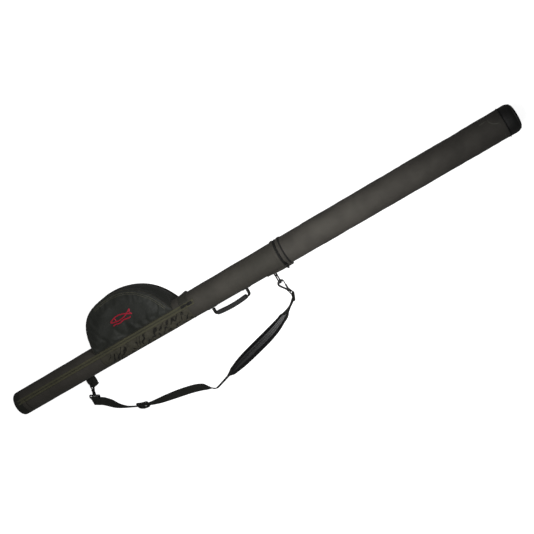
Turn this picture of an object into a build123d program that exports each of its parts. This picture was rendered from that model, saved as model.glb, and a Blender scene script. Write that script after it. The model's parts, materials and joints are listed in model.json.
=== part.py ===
"""Padded rod case: a rigid two-part tube in a zipped sleeve, with a reel pouch and a shoulder strap.

Frame: the origin is the centre of the lower tube's mouth, where the two tubes meet. +X runs along
the tube towards its top end, +Z is up with the case lying on its back, and the pouch is on +Y.
All lengths are millimetres. Angles called "turn" are measured round the tube from +Z towards -Y.
"""
from build123d import *
import os
from math import asin, atan, ceil, cos, radians, sin, tan

# Tube and sleeve
lower_length = 917.0
upper_length = 723.0
butt_radius = 35.5
mouth_radius = 38.5
upper_radius = 40.0
lower_bore = 31.5
channel_step = 0.5
upper_bore = 34.0
liner_wall = 2.0
upper_liner_wall = 2.5
skin_gap = 0.15
rest_height = 40.5
cap_wall = 3.0
butt_cap_length = 27.0
top_cap_length = 35.0
cap_corner = 12.0
cap_stand = 0.7
pad_thickness = 12.0
pad_gap = 0.5
mouth_gap = 0.4
sleeve_setback = 1.0
band_depth = 8.0
piping_radius = 1.2

# Zips: every level is measured from the sleeve's surface
tape_half = 7.0
tape_top = -0.5
tape_thickness = 0.8
teeth_half = 1.5
teeth_top = 0.9
teeth_gap = 0.05
ring_teeth_gap = 0.1
band_gap = 0.2
slider_gap = 0.4
slider_wall = 1.1
slider_half = 4.2
slider_lip = 2.2
slider_corner = 1.6
bail_radius = 0.9
bail_height = 2.8
pull_eye = 2.4
pull_hole = 1.2
pull_half = 1.65
pull_width = 6.4
pull_thickness = 1.6
long_slider_length = 16.0
long_pull_length = 24.0
ring_slider_length = 12.0
ring_pull_length = 17.0
zip_turn = -8.5
flap_setback = 39.0
flap_end = -303.0
zip_end_margin = 24.0
flap_thickness = 1.8
flap_gap = 0.4
gather_start = -607.0
stop_length = 3.0

# Ring zip round the mouth and the fabric hinge that joins the two halves
ring_radius = 40.3
ring_tape_half = 5.5
binding_length = 10.0
binding_stand = 2.2
binding_gap = 0.1
binding_shoulder = 0.6
binding_rim = 0.4
stub_gap = 0.3
web_inset = 2.0
hinge_turn = 90.0
web_half_turn = 26.0
park_turn = 54.0
park_half_turn = 10.0
web_bead = 1.2
web_half_height = 9.5
web_thickness = 1.2
web_gap = 0.3

# Reel pouch
pouch_start = -616.0
pouch_end = -324.0
face_end = -343.0
pouch_reach = 142.0
pouch_face = 40.0
pouch_wall = 2.5
pouch_edge = 13.2
pouch_back_thickness = 2.0
pouch_foam_thickness = 5.0
window_floor = -14.0
window_start_margin = 8.0
window_end_margin = 6.0
liner_inset = 2.0
liner_lap = 6.0
liner_sill = 4.0
pouch_piping = 1.3
emblem_length = 56.0
emblem_width = 20.0
patch_length = 32.0
patch_thickness = 1.4

# Carry handle
handle_start = -252.0
handle_end = -134.0
grip_length = 92.0
grip_width = 15.0
grip_height = 26.0
grip_corner = 7.0
grip_slot_gap = 0.2
handle_bend = 9.0
grip_reach = 16.5
web_width = 20.0
web_strip = 1.8
anchor_length = 26.0
anchor_thickness = 1.4
pivot_radius = 1.6
pivot_stand = 4.4
pivot_foot = 1.8

# Rings, snap hooks and shoulder strap
ring_wire = 3.6
ring_inside = 22.0
tab_wall = 1.6
tab_width = 18.0
lower_ring_x = -684.0
lower_ring_z = -13.0
lower_ring_depth = 17.0
lower_ring_stand = 5.0
upper_ring_x = -48.0
upper_ring_z = -16.0
upper_ring_depth = 24.0
upper_ring_stand = 12.0
lower_hook_tip = (-688.0, -49.6, -10.4)
lower_hook_aim = (-713.0, -99.0, -31.0)
upper_hook_tip = (-50.3, -64.6, -15.0)
upper_hook_aim = (-31.5, -125.5, -23.0)
hook_length = 38.0
hook_width = 23.0
hook_wire = 5.0
bow_end_radius = 4.0
bow_end_share = 0.5
gate_start = 11.0
gate_end = 27.0
gate_gap = 1.0
pin_setback = 2.5
fork_share = 0.32
gate_share = 0.28
gate_pin = 1.0
pin_gap = 0.06
boss_radius = 5.0
boss_length = 8.0
boss_overlap = 3.0
fork_reach = 2.6
gate_inset = 1.1
gate_eye = 1.9
stem_depth = 5.0
stem_end_gap = 0.5
stem_root = 1.0
loop_gap = 0.8
loop_corner = 3.0
loop_inner_corner = 1.5
stem_radius = 2.2
swivel_gap = 0.06
loop_inside = 27.0
loop_depth = 6.0
loop_bar = 3.2
strap_width = 25.0
strap_thickness = 2.0
strap_lift = 2.2
shoulder_pad_width = 40.0
shoulder_pad_height = 13.0
shoulder_pad_lift = 0.3
backing_height = 2.0
adjuster_length = 22.0
adjuster_width = 33.0
adjuster_height = 8.0
adjuster_clear = 0.8
adjuster_lift = 0.2

floor = -rest_height
flap_start = flap_setback - lower_length
cone_slope = (mouth_radius - butt_radius) / lower_length
liner_radius = lower_bore + liner_wall
upper_liner_radius = upper_bore + upper_liner_wall


def sleeve_radius(x):
    """Outer radius of the lower sleeve, which widens evenly towards the mouth."""
    return mouth_radius + cone_slope * x


def around(radius, turn):
    """Y and Z of a point at this radius and turn."""
    return (-radius * sin(radians(turn)), radius * cos(radians(turn)))


def save(part, label):
    """Label a finished piece and write it."""
    part.label = label
    export_step(part, "parts/" + label + ".step")


def turned(points):
    """Solid of revolution about the tube's axis from (x, radius) points."""
    with BuildPart() as body:
        with BuildSketch(Plane.XZ):
            with BuildLine():
                Polyline(*points, close=True)
            make_face()
        revolve(axis=Axis.X)
    return body.part


def wedge(start_turn, end_turn, x_low, x_high, reach=80.0):
    """Slice of the space round the tube's axis between two turns."""
    steps = max(2, ceil((end_turn - start_turn) / 30.0))
    outer = reach / cos(radians(15.0))
    turns = [start_turn + (end_turn - start_turn) * i / steps for i in range(steps + 1)]
    with BuildPart() as body:
        with BuildSketch(Plane.YZ.offset(x_low)):
            with BuildLine():
                Polyline((0.0, 0.0), *[around(outer, turn) for turn in turns], close=True)
            make_face()
        extrude(amount=x_high - x_low)
    return body.part


def zip_plane(x):
    """Plane on the sleeve's surface at the long zip: x along the zip, z outwards."""
    lean = atan(cone_slope)
    y, z = around(1.0, zip_turn)
    radius = sleeve_radius(x)
    return Plane(
        origin=(x, radius * y, radius * z),
        x_dir=(cos(lean), sin(lean) * y, sin(lean) * z),
        z_dir=(-sin(lean), cos(lean) * y, cos(lean) * z),
    )


def ring_plane(turn):
    """Plane on the ring zip's surface at a turn: x along the zip, z outwards."""
    y, z = around(1.0, turn)
    return Plane(origin=(0.0, ring_radius * y, ring_radius * z), x_dir=(0.0, z, -y), z_dir=(0.0, y, z))


def block(plane, x, y, z):
    """Box in a plane's own directions, from (low, high) pairs."""
    with BuildPart(plane) as body:
        with Locations(((x[0] + x[1]) / 2, (y[0] + y[1]) / 2, (z[0] + z[1]) / 2)):
            Box(x[1] - x[0], y[1] - y[0], z[1] - z[0])
    return body.part


def zip_slider(plane, length):
    """Slider body that rides over the teeth, with a bail for its pull."""
    half = length / 2
    roof = teeth_top + slider_gap
    top = roof + slider_wall
    bar = top + bail_height
    post = pull_half + 0.4
    with BuildPart(plane) as body:
        with Locations((0.0, 0.0, (roof + top) / 2)):
            Box(length, 2 * slider_half, slider_wall)
        fillet(body.edges().filter_by(Axis(plane.origin, plane.z_dir)), slider_corner)
        lip_low = tape_top + slider_gap - 0.1
        for side in (-1, 1):
            with Locations((0.0, side * (slider_lip + slider_half) / 2, (lip_low + roof) / 2)):
                Box(length - 4.0, slider_half - slider_lip, roof - lip_low)
            with Locations((-half / 3, side * (post + 0.7), (top + bar) / 2)):
                Box(2 * bail_radius, 1.4, bar - top)
        with Locations(Location((-half / 3, 0.0, bar), (90, 0, 0))):
            Cylinder(bail_radius, 2 * (post + 1.4))
    return body.part


def zip_pull(plane, length, slider_length):
    """Pull tab that swings on a slider's bail."""
    bar = teeth_top + slider_gap + slider_wall + bail_height
    bar_x = -slider_length / 6
    with BuildPart(plane) as body:
        with Locations(Location((bar_x, 0.0, bar), (90, 0, 0))):
            Cylinder(pull_eye, 2 * pull_half)
        with Locations((bar_x - length / 4, 0.0, bar)):
            Box(length / 2, 2 * pull_half, pull_thickness)
        with Locations((bar_x - length * 0.7, 0.0, bar)):
            Box(length * 0.6, pull_width, pull_thickness)
        with Locations(Location((bar_x, 0.0, bar), (90, 0, 0))):
            Cylinder(pull_hole, 4 * pull_half, mode=Mode.SUBTRACT)
        with Locations((bar_x - length * 0.82, 0.0, bar)):
            Cylinder(pull_width / 5, 2 * pull_thickness, mode=Mode.SUBTRACT)
    return body.part


os.makedirs("parts", exist_ok=True)

# ---------------------------------------------------------------- lower tube
butt_inner = -lower_length + cap_wall
butt_skirt = -lower_length + butt_cap_length
zip_start = flap_start - zip_end_margin
zip_end = flap_end + zip_end_margin
band_half = tape_half + band_gap
far = 60.0

long_band = block(zip_plane(0.0), (zip_start, zip_end), (-band_half, band_half), (-band_depth, band_depth))
flap_window = block(
    Plane.XY, (flap_start - flap_gap, flap_end + flap_gap), (-far, 0.0), (0.0, far)
)
pouch_window = block(
    Plane.XY, (pouch_start + window_start_margin, pouch_end - window_end_margin), (0.0, far),
    (window_floor, far)
)
above_floor = block(Plane.XY, (-lower_length, upper_length), (-far, far), (floor, far))

with BuildPart() as lower_liner:
    add(turned([
        (flap_end, lower_bore), (0.0, lower_bore), (0.0, liner_radius), (flap_end, liner_radius),
    ]))
save(lower_liner.part, "lower_liner")

channel_bore = lower_bore + channel_step
channel_end = flap_end - flap_gap
channel_window = (
    pouch_start + window_start_margin + liner_inset,
    pouch_end - window_end_margin - liner_inset,
)
with BuildPart() as channel_liner:
    add(turned([
        (butt_inner + pad_gap, channel_bore), (channel_end, channel_bore),
        (channel_end, liner_radius), (butt_inner + pad_gap, liner_radius),
    ]))
    add(block(Plane.XY, (flap_start, flap_end), (-far, liner_lap), (liner_sill, far)), mode=Mode.SUBTRACT)
    add(block(Plane.XY, channel_window, (0.0, far), (window_floor + liner_sill, far)), mode=Mode.SUBTRACT)
save(channel_liner.part, "channel_liner")

cap_inside = liner_radius + skin_gap
with BuildPart() as lower_sleeve:
    add(turned([
        (butt_skirt, cap_inside), (-sleeve_setback, cap_inside),
        (-sleeve_setback, sleeve_radius(-sleeve_setback)), (butt_skirt, sleeve_radius(butt_skirt)),
    ]))
    add(long_band, mode=Mode.SUBTRACT)
    add(flap_window, mode=Mode.SUBTRACT)
    add(pouch_window, mode=Mode.SUBTRACT)
save(lower_sleeve.part, "lower_sleeve")

with BuildPart() as butt_cap:
    add(turned([
        (-lower_length, 0.0), (-lower_length, sleeve_radius(-lower_length) + cap_stand),
        (butt_skirt, sleeve_radius(butt_skirt) + cap_stand), (butt_skirt, cap_inside),
        (butt_inner, cap_inside), (butt_inner, 0.0),
    ]))
    end_rim = butt_cap.edges().filter_by(GeomType.CIRCLE).group_by(Axis.X)[0]
    fillet(end_rim.sort_by(SortBy.RADIUS)[-1], cap_wall + 2.0)
    add(long_band, mode=Mode.SUBTRACT)
save(butt_cap.part, "butt_cap")

with BuildPart() as butt_pad:
    with BuildSketch(Plane.YZ.offset(butt_inner + pad_gap)):
        Circle(lower_bore - pad_gap)
    extrude(amount=pad_thickness)
save(butt_pad.part, "butt_pad")

# ---------------------------------------------------------------- upper tube
top_inner = upper_length - cap_wall
top_skirt = upper_length - top_cap_length
stub = ring_radius + tape_top - tape_thickness - stub_gap

with BuildPart() as upper_liner:
    add(turned([
        (mouth_gap, upper_bore), (top_inner - pad_gap, upper_bore),
        (top_inner - pad_gap, upper_liner_radius), (mouth_gap, upper_liner_radius),
    ]))
save(upper_liner.part, "upper_liner")

with BuildPart() as upper_sleeve:
    add(turned([
        (sleeve_setback, upper_liner_radius + skin_gap), (top_skirt, upper_liner_radius + skin_gap),
        (top_skirt, upper_radius), (ring_tape_half, upper_radius), (ring_tape_half, stub),
        (sleeve_setback, stub),
    ]))
save(upper_sleeve.part, "upper_sleeve")

with BuildPart() as top_cap:
    add(turned([
        (upper_length, 0.0), (upper_length, upper_radius + cap_stand - cap_corner / 8),
        (upper_length - cap_corner / 2, upper_radius + cap_stand),
        (top_skirt, upper_radius + cap_stand), (top_skirt, upper_liner_radius + skin_gap),
        (top_inner, upper_liner_radius + skin_gap), (top_inner, 0.0),
    ]))
    add(above_floor, mode=Mode.INTERSECT)
save(top_cap.part, "top_cap")

with BuildPart() as top_pad:
    with BuildSketch(Plane.YZ.offset(top_inner - pad_gap)):
        Circle(upper_bore - pad_gap)
    extrude(amount=-pad_thickness)
save(top_pad.part, "top_pad")

with BuildPart() as top_piping:
    with BuildSketch(Plane.XZ):
        with Locations((top_skirt - piping_radius - 0.2, upper_radius + piping_radius + 0.1)):
            Circle(piping_radius)
    revolve(axis=Axis.X)
    add(above_floor, mode=Mode.INTERSECT)
save(top_piping.part, "top_piping")

# ---------------------------------------------------------------- ring zip and fabric hinge
zip_low = hinge_turn + web_half_turn - 360.0
zip_high = hinge_turn - web_half_turn
upper_high = park_turn - park_half_turn
upper_low = 2 * hinge_turn - upper_high - 360.0
tape_out = ring_radius + tape_top
tape_in = tape_out - tape_thickness


def ring_piece(label, x_low, x_high, radius_in, radius_out, low, high):
    """Part of a ring round the tube between two turns."""
    with BuildPart() as ring:
        add(turned([(x_low, radius_in), (x_high, radius_in), (x_high, radius_out), (x_low, radius_out)]))
        add(wedge(low, high, x_low - sleeve_setback, x_high + sleeve_setback), mode=Mode.INTERSECT)
        add(above_floor, mode=Mode.INTERSECT)
    save(ring.part, label)


ring_piece("ring_tape_lower", -ring_tape_half, -teeth_half, tape_in, tape_out, zip_low, zip_high)
ring_piece("ring_tape_upper", teeth_half, ring_tape_half, tape_in, tape_out, upper_low, upper_high)
ring_piece("ring_teeth_lower", -teeth_half, -ring_teeth_gap, tape_in, ring_radius + teeth_top, zip_low, zip_high)
ring_piece("ring_teeth_upper", ring_teeth_gap, teeth_half, tape_in, ring_radius + teeth_top, upper_low, upper_high)


def binding(label, x_near, x_far, radius_in):
    """Raised fabric binding beside the ring zip, flattened where the case lies on it."""
    crown = upper_radius + binding_stand
    middle = (x_near + x_far) / 2
    with BuildPart() as band:
        add(turned([
            (x_near, radius_in), (x_near, crown - binding_shoulder), (middle, crown),
            (x_far, radius_in + binding_rim),
            (x_far, radius_in),
        ]))
        add(above_floor, mode=Mode.INTERSECT)
    save(band.part, label)


binding("binding_lower", -ring_tape_half, -ring_tape_half - binding_length, mouth_radius + binding_gap)
binding("binding_upper", ring_tape_half, ring_tape_half + binding_length, upper_radius + binding_gap)

hinge_y = -(upper_radius + binding_stand + web_bead + web_gap)
web_end = ring_tape_half + binding_length - web_inset
with BuildPart() as fold_hinge:
    with BuildSketch(Plane.XY.offset(-web_half_height)):
        with Locations((0.0, hinge_y)):
            Circle(web_bead)
        with Locations((-web_end / 2, hinge_y)):
            Rectangle(web_end, web_thickness)
    extrude(amount=2 * web_half_height)
save(fold_hinge.part, "fold_hinge")

with BuildPart() as fold_web:
    with BuildSketch(Plane.XY.offset(-web_half_height)):
        with Locations(((web_bead + web_gap + web_end) / 2, hinge_y)):
            Rectangle(web_end - web_bead - web_gap, web_thickness)
    extrude(amount=2 * web_half_height)
save(fold_web.part, "fold_web")

save(zip_slider(ring_plane(park_turn), ring_slider_length), "ring_slider")
save(zip_pull(ring_plane(park_turn), ring_pull_length, ring_slider_length), "ring_pull")

# ---------------------------------------------------------------- long zip and front flap
tape_levels = (tape_top - tape_thickness, tape_top)
teeth_levels = (tape_top, teeth_top)
base = zip_plane(0.0)

with BuildPart() as long_tape:
    add(block(base, (zip_start, zip_end), (teeth_gap, tape_half), tape_levels))
    add(block(base, (zip_start, flap_start - flap_gap), (-tape_half, teeth_gap), tape_levels))
    add(block(base, (flap_end + flap_gap, zip_end), (-tape_half, teeth_gap), tape_levels))
save(long_tape.part, "long_tape")
save(block(base, (flap_start, flap_end), (-tape_half, -teeth_gap), tape_levels), "flap_tape")
save(block(base, (zip_start, zip_end), (teeth_gap, teeth_half), teeth_levels), "long_teeth")
save(block(base, (flap_start, flap_end), (-teeth_half, -teeth_gap), teeth_levels), "flap_teeth")

park_x = flap_end + 3.0 + long_slider_length / 2
with BuildPart() as zip_stops:
    for edge, side in ((zip_start, 1), (zip_end, -1)):
        near = edge + side * 0.5
        add(block(base, sorted((near, near + side * stop_length)), (-3.0, -teeth_gap), (tape_top, 1.6)))
save(zip_stops.part, "zip_stops")

save(zip_slider(zip_plane(park_x), long_slider_length), "long_slider")
save(zip_pull(zip_plane(park_x), long_pull_length, long_slider_length), "long_pull")


def flap_piece(label, x_low, x_high):
    """Stretch of the front flap, from the hinge line at the side up to the long zip."""
    with BuildPart() as flap:
        add(turned([
            (x_low, sleeve_radius(x_low) - flap_thickness), (x_high, sleeve_radius(x_high) - flap_thickness),
            (x_high, sleeve_radius(x_high)), (x_low, sleeve_radius(x_low)),
        ]))
        add(block(Plane.XY, (x_low - 1.0, x_high + 1.0), (-far, tape_half), (flap_gap, far)),
            mode=Mode.INTERSECT)
        add(block(base, (x_low - 1.0, x_high + 1.0), (-band_half, far), (-far, far)), mode=Mode.SUBTRACT)
    save(flap.part, label)


flap_piece("front_flap", flap_start, gather_start - flap_gap / 2)
flap_piece("gathered_flap", gather_start + flap_gap / 2, flap_end)

# ---------------------------------------------------------------- reel pouch


def pouch_outline(end, inset):
    """Rounded outline of the pouch on its plane, open side along the tube."""
    start = pouch_start + inset
    stop = end - inset
    reach = pouch_reach - inset
    length = stop - start
    shape = ((0.058, 0.62), (0.145, 0.84), (0.26, 0.95), (0.42, 1.0), (0.64, 0.94), (0.82, 0.71), (0.945, 0.36))
    with BuildLine() as outline:
        Spline(
            (start, pouch_edge), *[(start + length * a, reach * b) for a, b in shape], (stop, pouch_edge)
        )
        Line((stop, pouch_edge), (start, pouch_edge))
    return outline.line


def pouch_form(inset, low, high):
    """Solid between the pouch's back outline and its smaller face outline."""
    with BuildPart() as form:
        with BuildSketch(Plane.XY.offset(low)):
            add(pouch_outline(pouch_end, inset))
            make_face()
        with BuildSketch(Plane.XY.offset(high)):
            add(pouch_outline(face_end, inset))
            make_face()
        loft()
    return form.part


pouch_base = floor + pouch_back_thickness
sleeve_room = turned([
    (-lower_length, 0.0), (0.0, 0.0), (0.0, sleeve_radius(0.0) + 0.3),
    (-lower_length, sleeve_radius(-lower_length) + 0.3),
])

with BuildPart() as pouch_shell:
    add(pouch_form(0.0, pouch_base, pouch_face))
    add(pouch_form(pouch_wall, pouch_base - 1.0, pouch_face - pouch_wall), mode=Mode.SUBTRACT)
    add(block(Plane.XY, (pouch_start + pouch_wall, face_end - pouch_wall), (0.0, 20.0),
              (-20.0, pouch_face - pouch_wall)), mode=Mode.SUBTRACT)
    add(sleeve_room, mode=Mode.SUBTRACT)
save(pouch_shell.part, "pouch_shell")

with BuildPart() as pouch_back:
    with BuildSketch(Plane.XY.offset(floor)):
        add(pouch_outline(pouch_end, 0.0))
        make_face()
    extrude(amount=pouch_back_thickness)
save(pouch_back.part, "pouch_back")

with BuildPart() as pouch_foam:
    with BuildSketch(Plane.XY.offset(pouch_base)):
        add(pouch_outline(pouch_end, 5 * pouch_wall))
        make_face()
    extrude(amount=pouch_foam_thickness)
    add(sleeve_room, mode=Mode.SUBTRACT)
save(pouch_foam.part, "pouch_foam")

with BuildPart() as pouch_seam:
    with BuildSketch(Plane.XY.offset(pouch_face)):
        add(pouch_outline(face_end, 0.0))
        make_face()
    extrude(amount=pouch_piping)
    with BuildSketch(Plane.XY.offset(pouch_face)):
        add(pouch_outline(face_end, 2 * pouch_piping))
        make_face()
    extrude(amount=pouch_piping, mode=Mode.SUBTRACT)
    add(block(Plane.XY, (-lower_length, 0.0), (0.0, pouch_edge + 3.0), (0.0, far)), mode=Mode.SUBTRACT)
save(pouch_seam.part, "pouch_piping")

with BuildPart() as emblem:
    with BuildSketch(Plane.XY.offset(pouch_face)):
        with Locations((-479.0, 66.0)):
            Ellipse(emblem_length / 2, emblem_width / 2)
    extrude(amount=0.8)
save(emblem.part, "emblem")

patch_end = pouch_end + patch_length
with BuildPart() as end_patch:
    add(turned([
        (pouch_end + 0.5, sleeve_radius(pouch_end) + skin_gap), (patch_end, sleeve_radius(patch_end) + skin_gap),
        (patch_end, sleeve_radius(patch_end) + skin_gap + patch_thickness),
        (pouch_end + 0.5, sleeve_radius(pouch_end) + skin_gap + patch_thickness),
    ]))
    add(block(Plane.XY, (pouch_end, patch_end + 1.0), (pouch_edge, far), (window_floor, far)),
        mode=Mode.INTERSECT)
save(end_patch.part, "end_patch")

# ---------------------------------------------------------------- carry handle
handle_x = (handle_start + handle_end) / 2
pivot_y = -(sleeve_radius(handle_x) + pivot_stand)
grip_y = pivot_y - grip_reach
leg_start = handle_start + web_strip
leg_end = handle_end - web_strip

for label, x_mid in (("handle_anchor_a", leg_start), ("handle_anchor_b", leg_end)):
    x_pair = (x_mid - anchor_length / 2, x_mid + anchor_length / 2)
    with BuildPart() as anchor:
        radii = [sleeve_radius(x) + skin_gap for x in x_pair]
        add(turned([
            (x_pair[0], radii[0]), (x_pair[1], radii[1]), (x_pair[1], radii[1] + anchor_thickness),
            (x_pair[0], radii[0] + anchor_thickness),
        ]))
        add(block(Plane.XY, (x_pair[0] - 1.0, x_pair[1] + 1.0), (-far, 0.0), (-web_width / 2, web_width / 2)),
            mode=Mode.INTERSECT)
    save(anchor.part, label)

with BuildPart() as handle_web:
    with BuildSketch(Plane.XY.offset(-web_width / 2)):
        with BuildLine() as handle_path:
            FilletPolyline(
                (leg_start, pivot_y), (leg_start, grip_y), (leg_end, grip_y), (leg_end, pivot_y),
                radius=handle_bend,
            )
        trace(line_width=web_strip)
        with Locations((leg_start, pivot_y), (leg_end, pivot_y)):
            Circle(pivot_radius)
    extrude(amount=web_width)
    with BuildSketch(Plane.YZ.offset(handle_start)):
        with BuildLine():
            Polyline(
                (pivot_y + pivot_radius, pivot_foot), (grip_y + web_strip, web_width / 2),
                (grip_y - web_strip, web_width / 2), (grip_y - web_strip, -web_width / 2),
                (grip_y + web_strip, -web_width / 2), (pivot_y + pivot_radius, -pivot_foot), close=True,
            )
        make_face()
    extrude(amount=handle_end - handle_start, mode=Mode.INTERSECT)
save(handle_web.part, "handle_web")

with BuildPart() as handle_grip:
    with BuildSketch(Plane.YZ.offset(handle_x - grip_length / 2)):
        with Locations((grip_y, 0.0)):
            RectangleRounded(grip_width, grip_height, grip_corner)
            Rectangle(web_strip + 2 * grip_slot_gap, web_width + 2 * grip_slot_gap, mode=Mode.SUBTRACT)
    extrude(amount=grip_length)
save(handle_grip.part, "handle_grip")

# ---------------------------------------------------------------- rings and their tabs
ring_half = ring_inside / 2 + ring_wire


def ring_frame(x, z, stand, upright):
    """Plane of a ring at its bar: x outwards from the tube, z across the ring's own plane."""
    bar_y = -(sleeve_radius(x) ** 2 - z ** 2) ** 0.5 - stand - ring_wire / 2
    side = (1, 0, 0) if upright else (0, 0, 1)
    return Plane(origin=(x, bar_y, z), x_dir=(0, -1, 0), z_dir=side)


def strap_ring(plane, depth):
    """Rectangular ring with rounded corners, its bar at the plane's origin."""
    with BuildPart(plane) as ring:
        with BuildSketch(plane):
            with Locations((depth / 2, 0.0)):
                RectangleRounded(depth + ring_wire, 2 * ring_half, 5.0)
                RectangleRounded(depth - ring_wire, ring_inside, 2.5, mode=Mode.SUBTRACT)
        extrude(amount=ring_wire / 2, both=True)
        chamfer(ring.edges().filter_by(GeomType.CIRCLE), 0.6)
    return ring.part


def ring_tab(plane, stand):
    """Webbing tab that wraps the ring's bar and is sewn to the sleeve."""
    inside = ring_wire * 0.75
    tab_reach = stand + tab_width / 2
    with BuildPart(plane) as tab:
        with BuildSketch(Plane(plane.origin, x_dir=plane.x_dir, z_dir=plane.y_dir)):
            Circle(inside + tab_wall)
            Circle(inside, mode=Mode.SUBTRACT)
        extrude(amount=tab_width / 2, both=True)
        with BuildSketch(Plane(plane.origin, x_dir=plane.x_dir, z_dir=plane.y_dir)):
            with Locations((-(inside + tab_reach / 2), 0.0)):
                Rectangle(tab_reach, 2 * tab_wall)
        extrude(amount=tab_width / 2, both=True)
        with BuildSketch(Plane(plane.origin, x_dir=plane.x_dir, z_dir=plane.y_dir)):
            Circle(inside)
        extrude(amount=tab_width, both=True, mode=Mode.SUBTRACT)
    with BuildPart() as trimmed:
        add(tab.part)
        add(sleeve_room, mode=Mode.SUBTRACT)
    return trimmed.part


lower_frame = ring_frame(lower_ring_x, lower_ring_z, lower_ring_stand, upright=False)
upper_frame = ring_frame(upper_ring_x, upper_ring_z, upper_ring_stand, upright=True)
save(strap_ring(lower_frame, lower_ring_depth), "lower_ring")
save(strap_ring(upper_frame, upper_ring_depth), "upper_ring")
save(ring_tab(lower_frame, lower_ring_stand), "lower_tab")
save(ring_tab(upper_frame, upper_ring_stand), "upper_tab")

# ---------------------------------------------------------------- snap hooks
# Each hook lies along its plane's x, from the tip of its bow to its boss; the plane's y is across it.
hook_half = hook_width / 2
side_lean = asin((hook_half - bow_end_radius) / (hook_length - bow_end_radius - hook_half))
pin_x = gate_end - pin_setback
pin_y = (hook_half - hook_wire / 2 - (pin_x - hook_half) * sin(side_lean)) / cos(side_lean)
fork_half = hook_wire * fork_share
gate_half = hook_wire * gate_share
boss_start = hook_length - boss_overlap
boss_end = boss_start + boss_length
stem_inner = boss_end - stem_depth
loop_start = boss_end + loop_gap
stem_low = stem_inner + stem_end_gap
stem_high = loop_start + stem_root


def bow(plane, inset):
    """Teardrop outline of the bow, wide at its tip."""
    with BuildSketch(plane) as outline:
        with Locations((hook_half, 0.0)):
            Circle(hook_half - inset)
        with Locations((hook_length - bow_end_radius - inset, 0.0)):
            Circle(bow_end_radius - inset * bow_end_share)
        make_hull()
    return outline.sketch


def hook_body(plane):
    """Bow, boss and fork of a snap hook."""
    open_end = pin_x - fork_reach
    with BuildPart() as wire:
        extrude(bow(plane, 0.0), amount=hook_wire / 2, both=True)
        extrude(bow(plane, hook_wire), amount=hook_wire, both=True, mode=Mode.SUBTRACT)
        add(block(plane, (gate_start, gate_end), (0.0, hook_half), (-fork_half, fork_half)),
            mode=Mode.SUBTRACT)
        add(block(plane, (gate_start, open_end), (0.0, hook_half), (-hook_wire, hook_wire)),
            mode=Mode.SUBTRACT)
    with BuildPart(plane) as boss:
        with Locations(Location((boss_start + boss_length / 2, 0.0, 0.0), (0, 90, 0))):
            Cylinder(boss_radius, boss_length)
    with BuildPart(plane) as bores:
        with Locations(Location((stem_inner + boss_length / 2, 0.0, 0.0), (0, 90, 0))):
            Cylinder(stem_radius + swivel_gap, boss_length)
        with Locations((pin_x, pin_y, 0.0)):
            Cylinder(gate_pin, 2 * hook_wire)
    with BuildPart() as hook:
        add(wire.part)
        add(boss.part)
        add(bores.part, mode=Mode.SUBTRACT)
    return hook.part


def hook_gate(plane):
    """Sprung gate that closes the bow, with an eye for its pin."""
    with BuildPart() as bar:
        extrude(bow(plane, gate_inset), amount=gate_half, both=True)
        extrude(bow(plane, hook_wire - gate_inset), amount=hook_wire, both=True, mode=Mode.SUBTRACT)
        add(block(plane, (gate_start + gate_gap, pin_x), (0.0, hook_half), (-hook_wire, hook_wire)),
            mode=Mode.INTERSECT)
    with BuildPart(plane) as eye:
        with Locations((pin_x, pin_y, 0.0)):
            Cylinder(gate_eye, 2 * gate_half)
    with BuildPart(plane) as bore:
        with Locations((pin_x, pin_y, 0.0)):
            Cylinder(gate_pin + pin_gap, 2 * hook_wire)
    with BuildPart() as gate:
        add(bar.part)
        add(eye.part)
        add(bore.part, mode=Mode.SUBTRACT)
    return gate.part


def hook_pin(plane):
    """Cross pin of the gate."""
    with BuildPart(plane) as pin:
        with Locations((pin_x, pin_y, 0.0)):
            Cylinder(gate_pin, hook_wire)
    return pin.part


def swivel_loop(plane):
    """Webbing loop, square to the bow, on a stem that turns in the hook's boss."""
    across = Plane(plane.origin, x_dir=plane.x_dir, z_dir=plane.y_dir)
    middle = loop_start + loop_bar + loop_depth / 2
    with BuildPart(across) as loop:
        with BuildSketch(across):
            with Locations((middle, 0.0)):
                RectangleRounded(loop_depth + 2 * loop_bar, loop_inside + 2 * loop_bar, loop_corner)
                RectangleRounded(loop_depth, loop_inside, loop_inner_corner, mode=Mode.SUBTRACT)
        extrude(amount=loop_bar / 2, both=True)
        with Locations(Location(((stem_low + stem_high) / 2, 0.0, 0.0), (0, 90, 0))):
            Cylinder(stem_radius, stem_high - stem_low)
    return loop.part


def hook_plane(tip, toward, across):
    """Plane along a hook from its tip, with a direction roughly across its bow."""
    along = (Vector(*toward) - Vector(*tip)).normalized()
    normal = along.cross(Vector(*across)).normalized()
    return Plane(origin=tip, x_dir=along, z_dir=normal)


lower_hook_plane = hook_plane(lower_hook_tip, lower_hook_aim, (0, 0, 1))
upper_hook_plane = hook_plane(upper_hook_tip, upper_hook_aim, (1, 0, 0))
for name, plane in (("lower", lower_hook_plane), ("upper", upper_hook_plane)):
    save(hook_body(plane), name + "_hook")
    save(hook_gate(plane), name + "_gate")
    save(hook_pin(plane), name + "_gate_pin")
    save(swivel_loop(plane), name + "_swivel")

# ---------------------------------------------------------------- shoulder strap
lower_route = [
    (-714.0, -103.0), (-692.0, -120.0), (-659.0, -151.0), (-617.0, -176.0), (-563.0, -193.0),
    (-500.0, -203.0), (-440.0, -216.0), (-388.0, -236.0), (-352.0, -240.0), (-318.0, -230.0),
]
pad_route = [
    (-318.0, -230.0), (-266.0, -214.7), (-210.0, -200.0), (-150.0, -184.0), (-103.0, -166.0), (-76.0, -152.0),
]
upper_route = [(-76.0, -152.0), (-60.0, -143.7), (-46.0, -133.5), (-36.0, -123.5)]


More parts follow.
